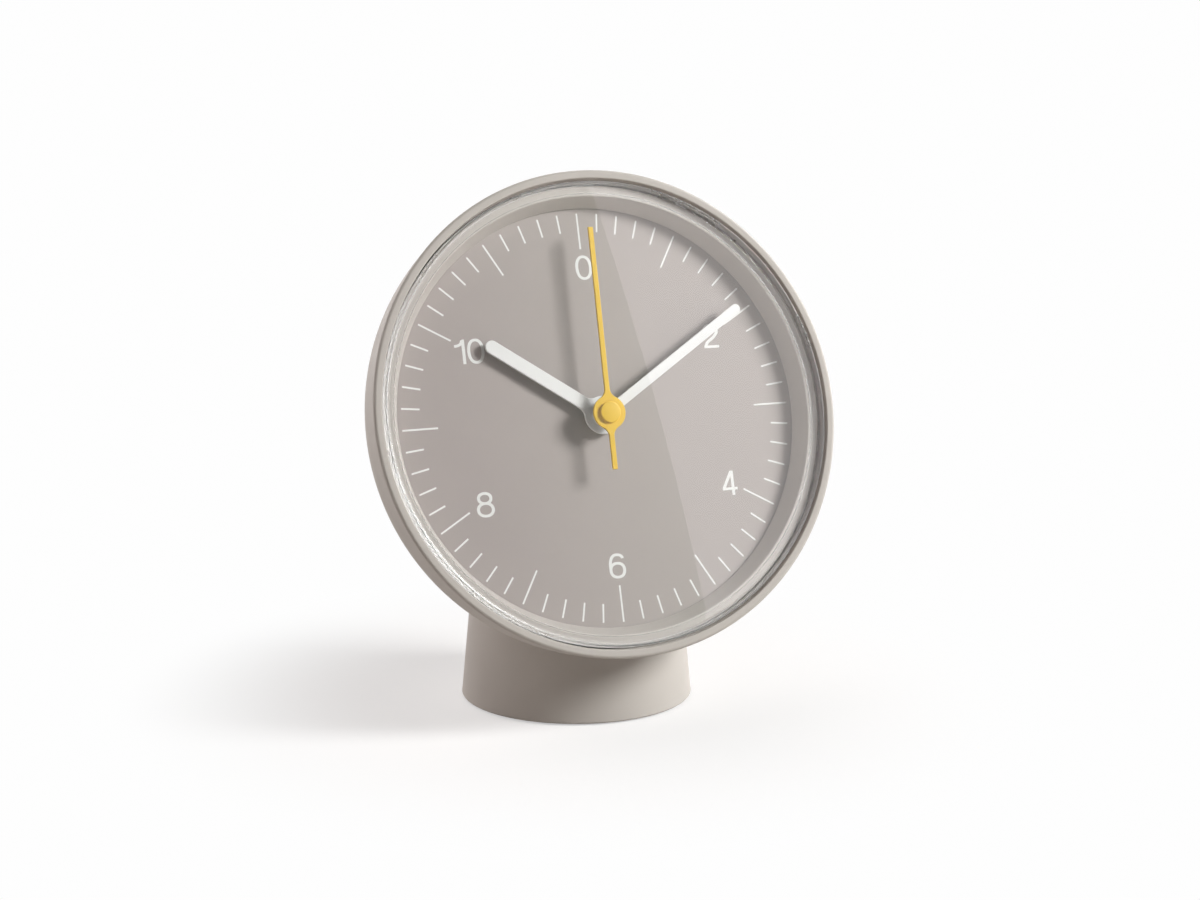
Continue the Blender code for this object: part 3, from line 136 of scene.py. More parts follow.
# Hands
HOUR_ANGLE = math.radians(-304.6)
MINUTE_ANGLE = math.radians(-57.7)
SECOND_ANGLE = math.radians(-0.8)
HOUR_SIZES = {"hub": 0.0052, "width": 0.00365, "length": 0.0376, "low": 0.0018, "thick": 0.0009}
MINUTE_SIZES = {"hub": 0.0038, "width": 0.0027, "length": 0.0509, "low": 0.0043, "thick": 0.0007}
SECOND_SIZES = {"hub": 0.0046, "width": 0.0014, "length": 0.0507, "low": 0.0067, "thick": 0.0008}
SECOND_TAIL = 0.0154
SECOND_CAP_RADIUS = 0.0029
SECOND_CAP_RISE = 0.0009
SECOND_CAP_ROUND = 0.0003
CAP_ROUND_STEPS = 5
HAND_FILLET = 0.0028
HAND_STEPS = 20
HAND_EDGE = 0.00012
HOUR_BORE = 0.00255
MINUTE_BORE = 0.00155
SECOND_BORE = 0.00075
COLLAR_WALL = 0.0009
COLLAR_LENGTH = 0.001
BORE_STEPS = 48
CAP_STEPS = 96
BACK_FACING = -0.9

# Rear cover, screws and knob
MOVEMENT_BACK = 0.0173
COVER_ROOM = 0.00348
COVER_GAP = 0.0004
COVER_THICK = 0.002
COVER_EDGE = 0.2 * MM
WINDOW_RIM = 0.00275
WINDOW_MARGIN = 0.0008
WINDOW_CORNER = 0.002
CELL_DROP = 0.0186
CELL_RADIUS = 0.0071
CELL_BODY = 0.049
CELL_DEPTH = 0.0114
CELL_RIM = 0.0006
CELL_RIM_STEPS = 6
CELL_STEPS = 96
CELL_GROOVE = (0.0052, 0.0055)
CELL_GROOVE_DEPTH = 0.0002
NUB_RADIUS = 0.0026
NUB_RISE = 0.0012
NUB_ROUND = 0.0003
NUB_STEPS = 4
CELL_METAL = 0.0003
KNOB_CENTRE = (0.0186572, -0.0016323)
KNOB_RADIUS = 0.006
KNOB_FRONT = 0.0176
KNOB_RISE = 0.0055
KNOB_SKIN = 0.00012
KNOB_GRIPS = 16
KNOB_GRIP_DEPTH = 0.0004
KNOB_GRIP_STEPS = 6
KNOB_GRIP_POWER = 0.7
KNOB_EDGE = 0.15 * MM
KNOB_WINDOW = 0.0072
KNOB_WINDOW_STEPS = 64
EAR_CENTRE = 0.0347
EAR_RADIUS = 0.0034
EAR_SKIN = 0.0005
EAR_STEPS = 32
EAR_DIRECTIONS = (math.radians(25), math.radians(155), math.radians(270))
SCREW_HOLE = 0.00115
SCREW_HEAD = 0.0019
SCREW_HEAD_RISE = 0.0012
SCREW_SHANK = 0.0009
SCREW_SHORT = 0.0005
SCREW_ROUND = 0.0004
SCREW_ROUND_STEPS = 4
SCREW_STEPS = 48
SCREW_HOLE_STEPS = 24
CROSS_LONG = 0.0022
CROSS_WIDE = 0.0004
CROSS_DEEP = 0.0012
CROSS_TURN = 0.3

# Foot
FOOT_RADIUS = 0.03245
FOOT_SLOPE = 0.0938
FOOT_WALL = 0.0024
FOOT_RIM = 0.0004
FOOT_ROUND = 0.0006
FOOT_ROUND_STEPS = 6
FOOT_TOP_DROP = 0.043
FOOT_HEIGHT = 0.045
FOOT_STEPS = 160
FOOT_ROWS = 24
ROOM_REACH = 0.002
PAD_THICK = 0.0012
PAD_RADIUS = 0.02965
PAD_ROUND = 0.0003
PAD_ROUND_STEPS = 5
BASE_THICK = 0.002
SHOULDER = 0.0012
SHOULDER_RISE = 0.002
BASE_INSET = 0.0004

# Camera: the dial's centre seen from the photograph's place
CAMERA_OFFSET = Vector((-0.2460987, -0.6081365, 0.1225218))
CAMERA_PITCH = math.radians(90 - 11.361)
CAMERA_TURN = math.radians(-22.048)
CAMERA_LENS = 73.79
SENSOR_WIDTH = 36

# Floor and light: the floor as the lamps meet it, and as it is seen
FLOOR_COLOUR = (0.54, 0.50, 0.47)
FLOOR_SEEN = (0.525, 0.515, 0.52)
FLOOR_GLOW = 0.495
FLOOR_REACH = 2.5
BACKGROUND = 0.99
# Distances from the clock over which the floor's cast shadow is painted away into plain white glow
FADE_START = 0.05
FADE_END = 0.132
AMBIENT_COLOUR = (1, 0.93, 0.89)
AMBIENT_FRONT = 0.02
AMBIENT_BACK = 1.4
AMBIENT_SIDE = (-0.66, 0.74, 0.12)
AMBIENT_START = 0.12
AMBIENT_END = 0.9
LAMP_DISTANCE = 1.6
CARD_DISTANCE = 1.4
CARD_STEPS = 24
KEY_BOX = {"azimuth": 52, "elevation": 29, "width": 0.46, "height": 0.50, "radiance": 41,
           "colour": (0.98, 1, 0.98)}
CARDS = {
    "dark_card": {"sides": (-12, 26.6), "rises": (-8, 55), "glows": (0, 1.4), "colour": (0.88, 1, 0.84),
                  "start": 0.70},
    "back_card": {"sides": (-178, -100), "rises": (-5, 40), "glows": (3, 3), "colour": (1, 1, 1)},
    "side_card": {"sides": (64, 150), "rises": (-5, 50), "glows": (6, 6), "colour": (1, 0.99, 0.98)},
    "pale_card": {"sides": (26.6, 60), "rises": (-8, 55), "glows": (3.1, 4.1), "colour": (1, 0.99, 0.98)},
}


def side_radius(depth):
    """Outer radius of the tapered side wall, at a depth behind the dial's face."""
    return LIP_RADIUS - (LIP_HEIGHT + depth) * math.tan(CASE_TAPER)


BOWL_CENTRE = (
    side_radius(BOWL_START) - BOWL_RADIUS * math.cos(CASE_TAPER),
    BOWL_RADIUS * math.sin(CASE_TAPER) - BOWL_START,
)


def bowl_turn(radius, bowl):
    return -math.acos((radius - BOWL_CENTRE[0]) / bowl)


EDGE_RADIUS = RECESS_RADIUS + RECESS_ROUND
EDGE_TURN = bowl_turn(EDGE_RADIUS, BOWL_RADIUS)
EDGE_LEVEL = BOWL_CENTRE[1] + BOWL_RADIUS * math.sin(EDGE_TURN)
COVER_SEAT_DEPTH = MOVEMENT_BACK + COVER_ROOM
COVER_FRONT = COVER_SEAT_DEPTH + SEAT_GAP
COVER_BACK = COVER_FRONT + COVER_THICK
FLANGE_BASE = SEAT_GAP + RING_RISE + RING_TOP + SEAT_GAP
CROWN_BASE = FLANGE_BASE + LENS_FLANGE_THICK
CROWN_TOP = CROWN_BASE + CROWN_RISE


# Shapes

def arc(centre, radius, start, end, steps):
    turns = [start + (end - start) * step / steps for step in range(steps + 1)]
    return [(centre[0] + radius * math.cos(turn), centre[1] + radius * math.sin(turn)) for turn in turns]


def circle(radius, steps, centre=(0, 0)):
    return arc(centre, radius, 0, 2 * math.pi, steps)[:-1]


def soften(outline, closed=True, least=50):
    """Rounds the corners of an outline that turn by more than so many degrees."""
    count = len(outline)
    made = []
    for i, point in enumerate(outline):
        here = Vector(point)
        before = Vector(outline[i - 1])
        after = Vector(outline[(i + 1) % count])
        ends = not closed and i in (0, count - 1)
        lead = here - before
        follow = after - here
        short = min(lead.length, follow.length) < CORNER_ROOM * EDGE_SOFT
        if ends or short or lead.angle(follow) < math.radians(least):
            made.append(tuple(here))
            continue
        start = here - lead.normalized() * EDGE_SOFT
        end = here + follow.normalized() * EDGE_SOFT
        for step in range(EDGE_STEPS + 1):
            share = step / EDGE_STEPS
            mixed = start.lerp(here, share).lerp(here.lerp(end, share), share)
            made.append(tuple(mixed))
    return made


def lathe(shape, outline, steps=TURN_STEPS, closed=True, centre=(0, 0)):
    """Adds a turned surface to a mesh, from (radius, level) points."""
    rows = []
    for radius, level in outline:
        spots = circle(radius, steps, centre) if radius > 0 else [centre]
        rows.append([shape.verts.new((x, y, level)) for x, y in spots])
    pairs = list(zip(rows, rows[1:]))
    if closed:
        pairs.append((rows[-1], rows[0]))
    for upper, lower in pairs:
        if len(upper) == 1 and len(lower) == 1:
            continue
        for i in range(steps):
            j = (i + 1) % steps
            corners = [upper[i % len(upper)], upper[j % len(upper)]]
            corners += [lower[j % len(lower)], lower[i % len(lower)]]
            unique = []
            for corner in corners:
                if corner not in unique:
                    unique.append(corner)
            shape.faces.new(unique)
    return shape


def turned(outline, steps=TURN_STEPS, closed=True, centre=(0, 0)):
    return lathe(bmesh.new(), outline, steps, closed, centre)


def without_doubles(loop):
    """Leaves out the points of a loop that lie on the point before them."""
    return [point for i, point in enumerate(loop) if math.dist(point, loop[i - 1]) > DOUBLE_GAP]


def flat(loops, low, high, edge=0):
    """A slab with a flat outline and inner loops as holes, from one level to another, with rounded edges."""
    curve = bpy.data.curves.new("outline", "CURVE")
    curve.dimensions = "2D"
    curve.fill_mode = "BOTH"
    curve.extrude = (high - low) / 2 - edge
    curve.bevel_depth = edge
    curve.bevel_resolution = EDGE_STEPS
    curve.offset = -edge
    for loop in map(without_doubles, loops):
        spline = curve.splines.new("POLY")
        spline.points.add(len(loop) - 1)
        for point, (x, y) in zip(spline.points, loop):
            point.co = (x, y, 0, 1)
        spline.use_cyclic_u = True
    source = bpy.data.objects.new("outline", curve)
    SCENE.collection.objects.link(source)
    bpy.context.view_layer.update()
    graph = bpy.context.evaluated_depsgraph_get()
    mesh = bpy.data.meshes.new_from_object(source.evaluated_get(graph))
    bpy.data.objects.remove(source, do_unlink=True)
    bpy.data.curves.remove(curve)
    shape = bmesh.new()
    shape.from_mesh(mesh)
    bpy.data.meshes.remove(mesh)
    bmesh.ops.remove_doubles(shape, verts=shape.verts, dist=MERGE_GAP)
    bmesh.ops.translate(shape, verts=shape.verts, vec=(0, 0, (low + high) / 2))
    return shape


def box(size, place):
    """A block of a size, laid by a matrix."""
    shape = bmesh.new()
    bmesh.ops.create_cube(shape, size=1)
    shape.transform(place @ Matrix.Diagonal((*size, 1)))
    return shape


def turn(shape, angle):
    bmesh.ops.rotate(shape, verts=shape.verts, cent=(0, 0, 0), matrix=Matrix.Rotation(angle, 3, "Z"))
    return shape


def merge(shape, other):
    """Adds the other mesh to this one."""
    mesh = bpy.data.meshes.new("merged")
    other.to_mesh(mesh)
    other.free()
    shape.from_mesh(mesh)
    bpy.data.meshes.remove(mesh)
    return shape


def mesh_object(name, shape, place=DIAL):
    shape.transform(place)
    bmesh.ops.recalc_face_normals(shape, faces=shape.faces)
    mesh = bpy.data.meshes.new(name)
    shape.to_mesh(mesh)
    shape.free()
    mesh.shade_smooth()
    mesh.set_sharp_from_angle(angle=SHARP_TURN)
    obj = bpy.data.objects.new(name, mesh)
    SCENE.collection.objects.link(obj)
    return obj


def piece(name, shape, finish, body="clock_body", nodes=(), place=DIAL, slab=False):
    """Makes a mesh a piece of the clock that rides on a body and may stand for CAD nodes.

    A slab keeps its two faces flat; other pieces are shaded smooth up to their sharp edges.
    """
    obj = mesh_object(name, shape, place)
    obj.data.materials.append(finish)
    if slab:
        axis = place.col[2].to_3d()
        for face in obj.data.polygons:
            face.use_smooth = abs(face.normal.dot(axis)) < FLAT_FACING
    else:
        normals = obj.modifiers.new("normals", "WEIGHTED_NORMAL")
        normals.keep_sharp = True
    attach(obj, body)
    if nodes:
        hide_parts(*nodes)
    return obj


def carve(obj, cutters):
    """Cuts the cutters away from an object and removes them."""
    for cutter in cutters:
        step = obj.modifiers.new("cut", "BOOLEAN")
        step.operation = "DIFFERENCE"
        step.solver = "EXACT"
        step.object = cutter
    bpy.context.view_layer.update()
    graph = bpy.context.evaluated_depsgraph_get()
    mesh = bpy.data.meshes.new_from_object(obj.evaluated_get(graph))
    obj.modifiers.clear()
    obj.data = mesh
    for cutter in cutters:
        bpy.data.objects.remove(cutter, do_unlink=True)
    shape = bmesh.new()
    shape.from_mesh(mesh)
    bpy.data.objects.remove(obj, do_unlink=True)
    return shape


# Materials

def blank(name):
    made = bpy.data.materials.new(name)
    made.use_nodes = True
    return made, made.node_tree, made.node_tree.nodes["Principled BSDF"]


def node(tree, kind, **settings):
    made = tree.nodes.new(kind)
    for key, value in settings.items():
        setattr(made, key, value)
    return made


def wire(tree, source, target):
    tree.links.new(source, target)


def place_of(tree):
    return node(tree, "ShaderNodeTexCoord").outputs["Object"]


def noise(tree, scale, detail=2.0, roughness=0.5, vector=None):
    made = node(tree, "ShaderNodeTexNoise")
    made.inputs["Scale"].default_value = scale
    made.inputs["Detail"].default_value = detail
    made.inputs["Roughness"].default_value = roughness
    wire(tree, vector or place_of(tree), made.inputs["Vector"])
    return made.outputs["Fac"]


def spread(tree, source, low, high, start=0.3, end=0.7):
    """Maps a pattern's usual range to a range of values."""
    made = node(tree, "ShaderNodeMapRange")
    wire(tree, source, made.inputs["Value"])
    for key, value in (("From Min", start), ("From Max", end), ("To Min", low), ("To Max", high)):
        made.inputs[key].default_value = value
    return made.outputs["Result"]


def blend_colours(tree, factor, first, second):
    made = node(tree, "ShaderNodeMix", data_type="RGBA")
    wire(tree, factor, made.inputs["Factor"])
    sockets = [socket for socket in made.inputs if socket.type == "RGBA"]
    for socket, colour in zip(sockets, (first, second)):
        socket.default_value = (*colour, 1)
    return [socket for socket in made.outputs if socket.type == "RGBA"][0]


def raise_by(tree, height, distance):
    made = node(tree, "ShaderNodeBump")
    made.inputs["Strength"].default_value = 1
    made.inputs["Distance"].default_value = distance
    wire(tree, height, made.inputs["Height"])
    return made.outputs["Normal"]


def give_colour(tree, shader, pattern, first, second):
    wire(tree, blend_colours(tree, pattern, first, second), shader.inputs["Base Color"])


def give_gloss(tree, shader, scale, detail, low, high):
    """Roughness that wanders between two values."""
    wire(tree, spread(tree, noise(tree, scale, detail), low, high), shader.inputs["Roughness"])


def mix_shaders(tree, factor, first, second):
    made = node(tree, "ShaderNodeMixShader")
    wire(tree, factor, made.inputs[0])
    wire(tree, first, made.inputs[1])
    wire(tree, second, made.inputs[2])
    return made.outputs[0]


def tint(colour, amount):
    return tuple(min(1, channel * (1 + amount)) for channel in colour)


def moulded(name, colour, roughness=0.5, grain=3200, depth=0.006, mottle=0.02, specular=0.5):
    """Moulded plastic: fine eroded grain, a trace of flow mottling and uneven gloss."""
    made, tree, shader = blank(name)
    slow = noise(tree, 38, 3)
    give_colour(tree, shader, spread(tree, slow, 0, 1), tint(colour, -mottle), tint(colour, mottle))
    fine = noise(tree, grain, 2, 0.6)
    give_gloss(tree, shader, 210, 3, roughness - 0.04, roughness + 0.05)
    wire(tree, raise_by(tree, fine, depth * MM), shader.inputs["Normal"])
    shader.inputs["Specular IOR Level"].default_value = specular
    return made


def lacquer(name, colour, roughness=0.38, specular=0.3):
    """Painted sheet metal: a smooth coat with faint orange peel."""
    made, tree, shader = blank(name)
    slow = noise(tree, 160, 2)
    give_colour(tree, shader, spread(tree, slow, 0, 1), tint(colour, -0.015), tint(colour, 0.015))
    give_gloss(tree, shader, 700, 2, roughness - 0.04, roughness + 0.04)
    wire(tree, raise_by(tree, noise(tree, 1500, 1), 0.004 * MM), shader.inputs["Normal"])
    shader.inputs["Specular IOR Level"].default_value = specular
    return made


def metal(name, colour, roughness, lines=2600, depth=0.002):
    """Rolled or turned metal with fine drawing lines along X."""
    made, tree, shader = blank(name)
    shader.inputs["Metallic"].default_value = 1
    stretch = node(tree, "ShaderNodeMapping")
    stretch.inputs["Scale"].default_value = (0.08, 1, 1)
    wire(tree, place_of(tree), stretch.inputs["Vector"])
    drawn = noise(tree, lines, 3, 0.6, stretch.outputs["Vector"])
    slow = noise(tree, 300, 3)
    give_colour(tree, shader, spread(tree, slow, 0, 1), tint(colour, -0.08), tint(colour, 0.05))
    wire(tree, spread(tree, drawn, roughness - 0.08, roughness + 0.1), shader.inputs["Roughness"])
    wire(tree, raise_by(tree, drawn, depth * MM), shader.inputs["Normal"])
    return made


def clear_plastic(name, low, high):
    """Clear plastic that lets lamps through, from polished to hazy by its roughness."""
    made, tree, shader = blank(name)
    shader.inputs["Base Color"].default_value = (1, 1, 1, 1)
    shader.inputs["Transmission Weight"].default_value = 1
    shader.inputs["IOR"].default_value = 1.49
    give_gloss(tree, shader, 60, 4, low, high)
    path = node(tree, "ShaderNodeLightPath")
    through = node(tree, "ShaderNodeBsdfTransparent")
    through.inputs["Color"].default_value = (0.95, 0.95, 0.95, 1)
    surface = shader.outputs[0]
    for ray in ("Is Diffuse Ray", "Is Shadow Ray"):
        surface = mix_shaders(tree, path.outputs[ray], surface, through.outputs[0])
    wire(tree, surface, tree.nodes["Material Output"].inputs["Surface"])
    return made


def winding(name):
    """Enamelled copper wire laid side by side along X."""
    made, tree, shader = blank(name)
    shader.inputs["Metallic"].default_value = 1
    turns = node(tree, "ShaderNodeTexWave", wave_type="BANDS", bands_direction="X")
    turns.inputs["Scale"].default_value = 1600
    turns.inputs["Distortion"].default_value = 0.6
    turns.inputs["Detail"].default_value = 1
    wire(tree, place_of(tree), turns.inputs["Vector"])
    # Painted shade and highlight: the copper is darker in the grooves between turns and lighter on their
    # crests, following the same bands as the bump
    give_colour(tree, shader, turns.outputs["Fac"], (0.30, 0.07, 0.02), (0.62, 0.22, 0.08))
    give_gloss(tree, shader, 900, 2, 0.28, 0.42)
    wire(tree, raise_by(tree, turns.outputs["Fac"], 0.04 * MM), shader.inputs["Normal"])
    return made


def board(name):
    """Green solder mask over copper tracks."""
    made, tree, shader = blank(name)
    tracks = node(tree, "ShaderNodeTexBrick")
    tracks.inputs["Scale"].default_value = 260
    tracks.inputs["Mortar Size"].default_value = 0.012
    tracks.inputs["Color1"].default_value = (0.012, 0.13, 0.045, 1)
    tracks.inputs["Color2"].default_value = (0.014, 0.16, 0.055, 1)
    tracks.inputs["Mortar"].default_value = (0.05, 0.30, 0.12, 1)
    wire(tree, place_of(tree), tracks.inputs["Vector"])
    wire(tree, tracks.outputs["Color"], shader.inputs["Base Color"])
    give_gloss(tree, shader, 500, 2, 0.28, 0.4)
    wire(tree, raise_by(tree, tracks.outputs["Fac"], 0.02 * MM), shader.inputs["Normal"])
    return made


def cell_sleeve(name):
    """Plain shrunk sleeve: dark along the body, with a copper-coloured band near the plus end."""
    made, tree, shader = blank(name)
    split = node(tree, "ShaderNodeSeparateXYZ")
    wire(tree, place_of(tree), split.inputs["Vector"])
    ramp = node(tree, "ShaderNodeValToRGB")
    ramp.color_ramp.interpolation = "CONSTANT"
    half = CELL_BODY / 2
    stops = ((0, (0.03, 0.03, 0.034)), (0.74, (0.42, 0.26, 0.10)), (0.985, (0.03, 0.03, 0.034)))
    ramp.color_ramp.elements.remove(ramp.color_ramp.elements[1])
    ramp.color_ramp.elements[0].color = (*stops[0][1], 1)
    for position, colour in stops[1:]:
        ramp.color_ramp.elements.new(position).color = (*colour, 1)
    wire(tree, spread(tree, split.outputs["X"], 0, 1, -half, half), ramp.inputs["Fac"])
    wire(tree, ramp.outputs["Color"], shader.inputs["Base Color"])
    give_gloss(tree, shader, 220, 3, 0.22, 0.34)
    wire(tree, raise_by(tree, noise(tree, 260, 2), 0.012 * MM), shader.inputs["Normal"])
    shader.inputs["Metallic"].default_value = 0.35
    return made


def rubber(name, colour):
    """Closed-cell rubber with pores and a dusty surface."""
    made, tree, shader = blank(name)
    pores = node(tree, "ShaderNodeTexVoronoi")
    pores.inputs["Scale"].default_value = 1500
    wire(tree, place_of(tree), pores.inputs["Vector"])
    give_colour(tree, shader, spread(tree, noise(tree, 120, 4), 0, 1), colour, tint(colour, 0.6))
    give_gloss(tree, shader, 400, 2, 0.78, 0.92)
    wire(tree, raise_by(tree, pores.outputs["Distance"], 0.05 * MM), shader.inputs["Normal"])
    return made


CASE_COLOUR = (0.50, 0.463, 0.434)
RING_COLOUR = (0.56, 0.518, 0.49)
DIAL_COLOUR = (0.42, 0.370, 0.356)

FINISH = {
    "case": moulded("case_satin", CASE_COLOUR, 0.58, specular=0.22),
    "ring": moulded("ring_satin", RING_COLOUR, 0.5, mottle=0.01, specular=0.22),
    "dial": moulded("dial_matt", DIAL_COLOUR, 0.6, grain=2600, depth=0.004, mottle=0.01, specular=0.2),
    "print": lacquer("white_print", (0.86, 0.86, 0.85), 0.55),
    "lens": clear_plastic("lens_clear", 0, 0.003),
    "lens_edge": clear_plastic("lens_edge", 0.26, 0.32),
    "white": lacquer("hand_white", (0.87, 0.865, 0.865)),
    "yellow": lacquer("hand_yellow", (0.80, 0.50, 0.006)),
    # Painted shade: the hands' backs are dark so that less light bounces onto the dial and the hands' shadows
    # there come out deeper
    "shadow_deepening_back": lacquer("shadow_deepening_back", (0.06, 0.058, 0.055), 0.5),
    "black": moulded("movement_black", (0.022, 0.022, 0.023), 0.5, grain=2400, depth=0.02, mottle=0.06),
    "inner": moulded("inner_plastic", (0.72, 0.72, 0.69), 0.5),
    "gear": moulded("gear_plastic", (0.82, 0.81, 0.75), 0.42, mottle=0.01),
    "brass": metal("brass", (0.74, 0.52, 0.22), 0.3),
    "steel": metal("steel", (0.60, 0.60, 0.59), 0.3),
    "copper": winding("copper_winding"),
    "board": board("board_green"),
    "cell": cell_sleeve("cell_sleeve"),
    "rubber": rubber("rubber", (0.028, 0.027, 0.026)),
}

NODE_FINISHES = {
    "rotor": "steel",
    "intermediate_wheel": "gear",
    "second_wheel": "gear",
    "third_wheel": "gear",
    "centre_wheel": "brass",
    "minute_arbor": "brass",
    "motion_wheel": "gear",
    "hour_wheel": "gear",
    "movement_front": "black",
    "movement_back": "black",
    "middle_plate": "inner",
    "stator": "steel",
    "coil": "copper",
    "coil_core": "steel",
    "circuit_board": "board",
    "quartz_crystal": "steel",
    "dial_nut": "brass",
    "rubber_washer": "rubber",
    "contact_positive": "steel",
    "contact_negative": "steel",
    "foot_screw_1": "steel",
    "foot_screw_2": "steel",
    "base_plate": "inner",
    "setting_knob": "black",
}


def finish_nodes():
    for name, finish in NODE_FINISHES.items():
        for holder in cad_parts[name].material_slots:
            holder.material = FINISH[finish]


# Case

def case_profile():
    inner_bowl = BOWL_RADIUS - CASE_WALL
    lip_inner = LIP_RADIUS - CASE_WALL
    tube = RECESS_RADIUS + RECESS_WALL
    shelf_top = -DIAL_THICK - SEAT_GAP
    shelf_outer = side_radius(-shelf_top) - CASE_WALL
    shelf_inner = shelf_outer - SHELF_WIDTH
    shelf_base = shelf_top - SHELF_THICK
    wall_base = side_radius(-shelf_base) - CASE_WALL
    ledge_front = LEDGE_THICK - COVER_SEAT_DEPTH
    ledge_inner = RECESS_RADIUS - LEDGE_WIDTH
    inner_round = (lip_inner + LIP_INNER_ROUND, LIP_HEIGHT - LIP_INNER_ROUND)
    outer_round = (LIP_RADIUS - LIP_OUTER_ROUND, LIP_HEIGHT - LIP_OUTER_ROUND)
    outline = arc(inner_round, LIP_INNER_ROUND, math.pi, math.pi / 2, LIP_INNER_STEPS)
    outline += arc(outer_round, LIP_OUTER_ROUND, math.pi / 2, -CASE_TAPER, LIP_OUTER_STEPS)
    outline += arc(BOWL_CENTRE, BOWL_RADIUS, -CASE_TAPER, EDGE_TURN, BOWL_STEPS)
    edge = (EDGE_RADIUS, EDGE_LEVEL + RECESS_ROUND)
    outline += arc(edge, RECESS_ROUND, -math.pi / 2, -math.pi, RECESS_STEPS)[1:]
    outline += [(RECESS_RADIUS, -COVER_SEAT_DEPTH), (ledge_inner, -COVER_SEAT_DEPTH)]
    outline += [(ledge_inner, ledge_front), (tube, ledge_front)]
    inside = arc(BOWL_CENTRE, inner_bowl, bowl_turn(tube, inner_bowl), -CASE_TAPER, BOWL_STEPS)
    outline += [point for point in inside if point[1] < shelf_base - EDGE_SOFT]
    outline += [(wall_base, shelf_base), (shelf_inner, shelf_base)]
    outline += [(shelf_inner, shelf_top), (shelf_outer, shelf_top)]
    return outline


def ear_places():
    return [(EAR_CENTRE * math.cos(turn), EAR_CENTRE * math.sin(turn)) for turn in EAR_DIRECTIONS]


def make_case():
    shape = turned(soften(case_profile()))
    front = LEDGE_THICK - COVER_SEAT_DEPTH - EDGE_SOFT
    back = EDGE_SOFT - COVER_SEAT_DEPTH
    ear = [(0, front), (EAR_RADIUS, front), (EAR_RADIUS, back), (SCREW_HOLE, back)]
    ear += [(SCREW_HOLE, front - EAR_SKIN), (0, front - EAR_SKIN)]
    for spot in ear_places():
        lathe(shape, ear, EAR_STEPS, False, spot)
    piece("case_shell_fine", shape, FINISH["case"], nodes=["case_shell"])


# Dial, ring and lens

def make_dial():
    radius = side_radius(DIAL_THICK) - CASE_WALL - SEAT_GAP
    outline = [(DIAL_HOLE, 0), (radius, 0), (radius, -DIAL_THICK), (DIAL_HOLE, -DIAL_THICK)]
    shape = turned(soften(outline))
    piece("dial_plate_fine", shape, FINISH["dial"], nodes=["dial_plate"])


def make_ticks():
    """Sixty fine strokes round the dial, every fifth one longer."""
    shape = bmesh.new()
    for number in range(TICK_COUNT):
        inner = TICK_SHORT if number % TICKS_PER_NUMERAL else TICK_LONG
        middle = Matrix.Translation((0, (TICK_OUTER + inner) / 2, PRINT_RISE / 2))
        stroke = box((TICK_WIDTH, TICK_OUTER - inner, PRINT_RISE), middle)
        merge(shape, turn(stroke, -2 * math.pi * number / TICK_COUNT))
    piece("dial_ticks", shape, FINISH["print"])


def oval(centre, half_width, half_height, start, end, steps, power=2.25):
    """Points on a slightly squared oval, angles in degrees from +X."""
    points = []
    for step in range(steps + 1):
        angle = math.radians(start + (end - start) * step / steps)
        x, y = math.cos(angle), math.sin(angle)
        points.append((
            centre[0] + half_width * math.copysign(abs(x) ** (2 / power), x),
            centre[1] + half_height * math.copysign(abs(y) ** (2 / power), y),
        ))
    return points


def curve_through(points, steps=10):
    """A smooth line through points."""
    made = []
    padded = [points[0], *points, points[-1]]
    for a, b, c, d in zip(padded, padded[1:], padded[2:], padded[3:]):
        for step in range(steps):
            t = step / steps
            made.append(tuple(
                0.5 * (2 * q + (r - p) * t + (2 * p - 5 * q + 4 * r - s) * t**2
                       + (3 * q - p - 3 * r + s) * t**3)
                for p, q, r, s in zip(a, b, c, d)
            ))
    made.append(points[-1])
    return made


def glyph_strokes():
    """Centre lines and filled outlines of the numerals, in millimetres about each numeral's centre."""
    zero = oval((0, 0), 1.975, 3.02, 0, 360, 64)
    six_bowl = oval((0, -1.15), 1.975, 1.875, 0, 360, 56)
    six_stem = [(-1.975, -1.15), (-1.975, -0.6)] + oval((0, 0), 1.975, 3.02, 178, 90, 24)
    six_stem += oval((0, 1.72), 1.75, 1.3, 88, 8, 16)
    two = oval((0, 1.33), 1.86, 1.69, 176, -18, 40)
    two += curve_through([(1.55, 0.5), (0.85, -0.3), (-0.35, -1.15), (-1.35, -1.95), (-1.86, -3.0)])
    flag = curve_through([(-1.475, 1.62), (-0.75, 1.68), (0.1, 1.95), (0.62, 2.5), (0.82, 3.05)])
    stem = [(0.625, -3.3), (1.475, -3.3), (1.475, 3.35), (0.8, 3.35), (0.625, 3.05)]
    diagonal = [(0.35, 3.4), (1.3, 3.4), (-1.25, -1.2), (-2.25, -1.2)]
    return {
        "0": [("ring", zero)],
        "8": [
            ("ring", oval((0, 1.68), 1.725, 1.345, 0, 360, 56, 2.15)),
            ("ring", oval((0, -1.34), 2.075, 1.685, 0, 360, 56, 2.15)),
        ],
        "6": [("ring", six_bowl), ("line", six_stem)],
        "4": [
            ("fill", diagonal),
            ("fill", [(-2.25, -1.2), (2.25, -1.2), (2.25, -1.95), (-2.25, -1.95)]),
            ("fill", [(0.475, 3.4), (1.325, 3.4), (1.325, -3.4), (0.475, -3.4)]),
        ],
        "2": [("line", two), ("fill", [(-2.29, -2.65), (2.2, -2.65), (2.2, -3.4), (-2.29, -3.4)])],
        "1": [("line", flag), ("fill", stem)],
    }


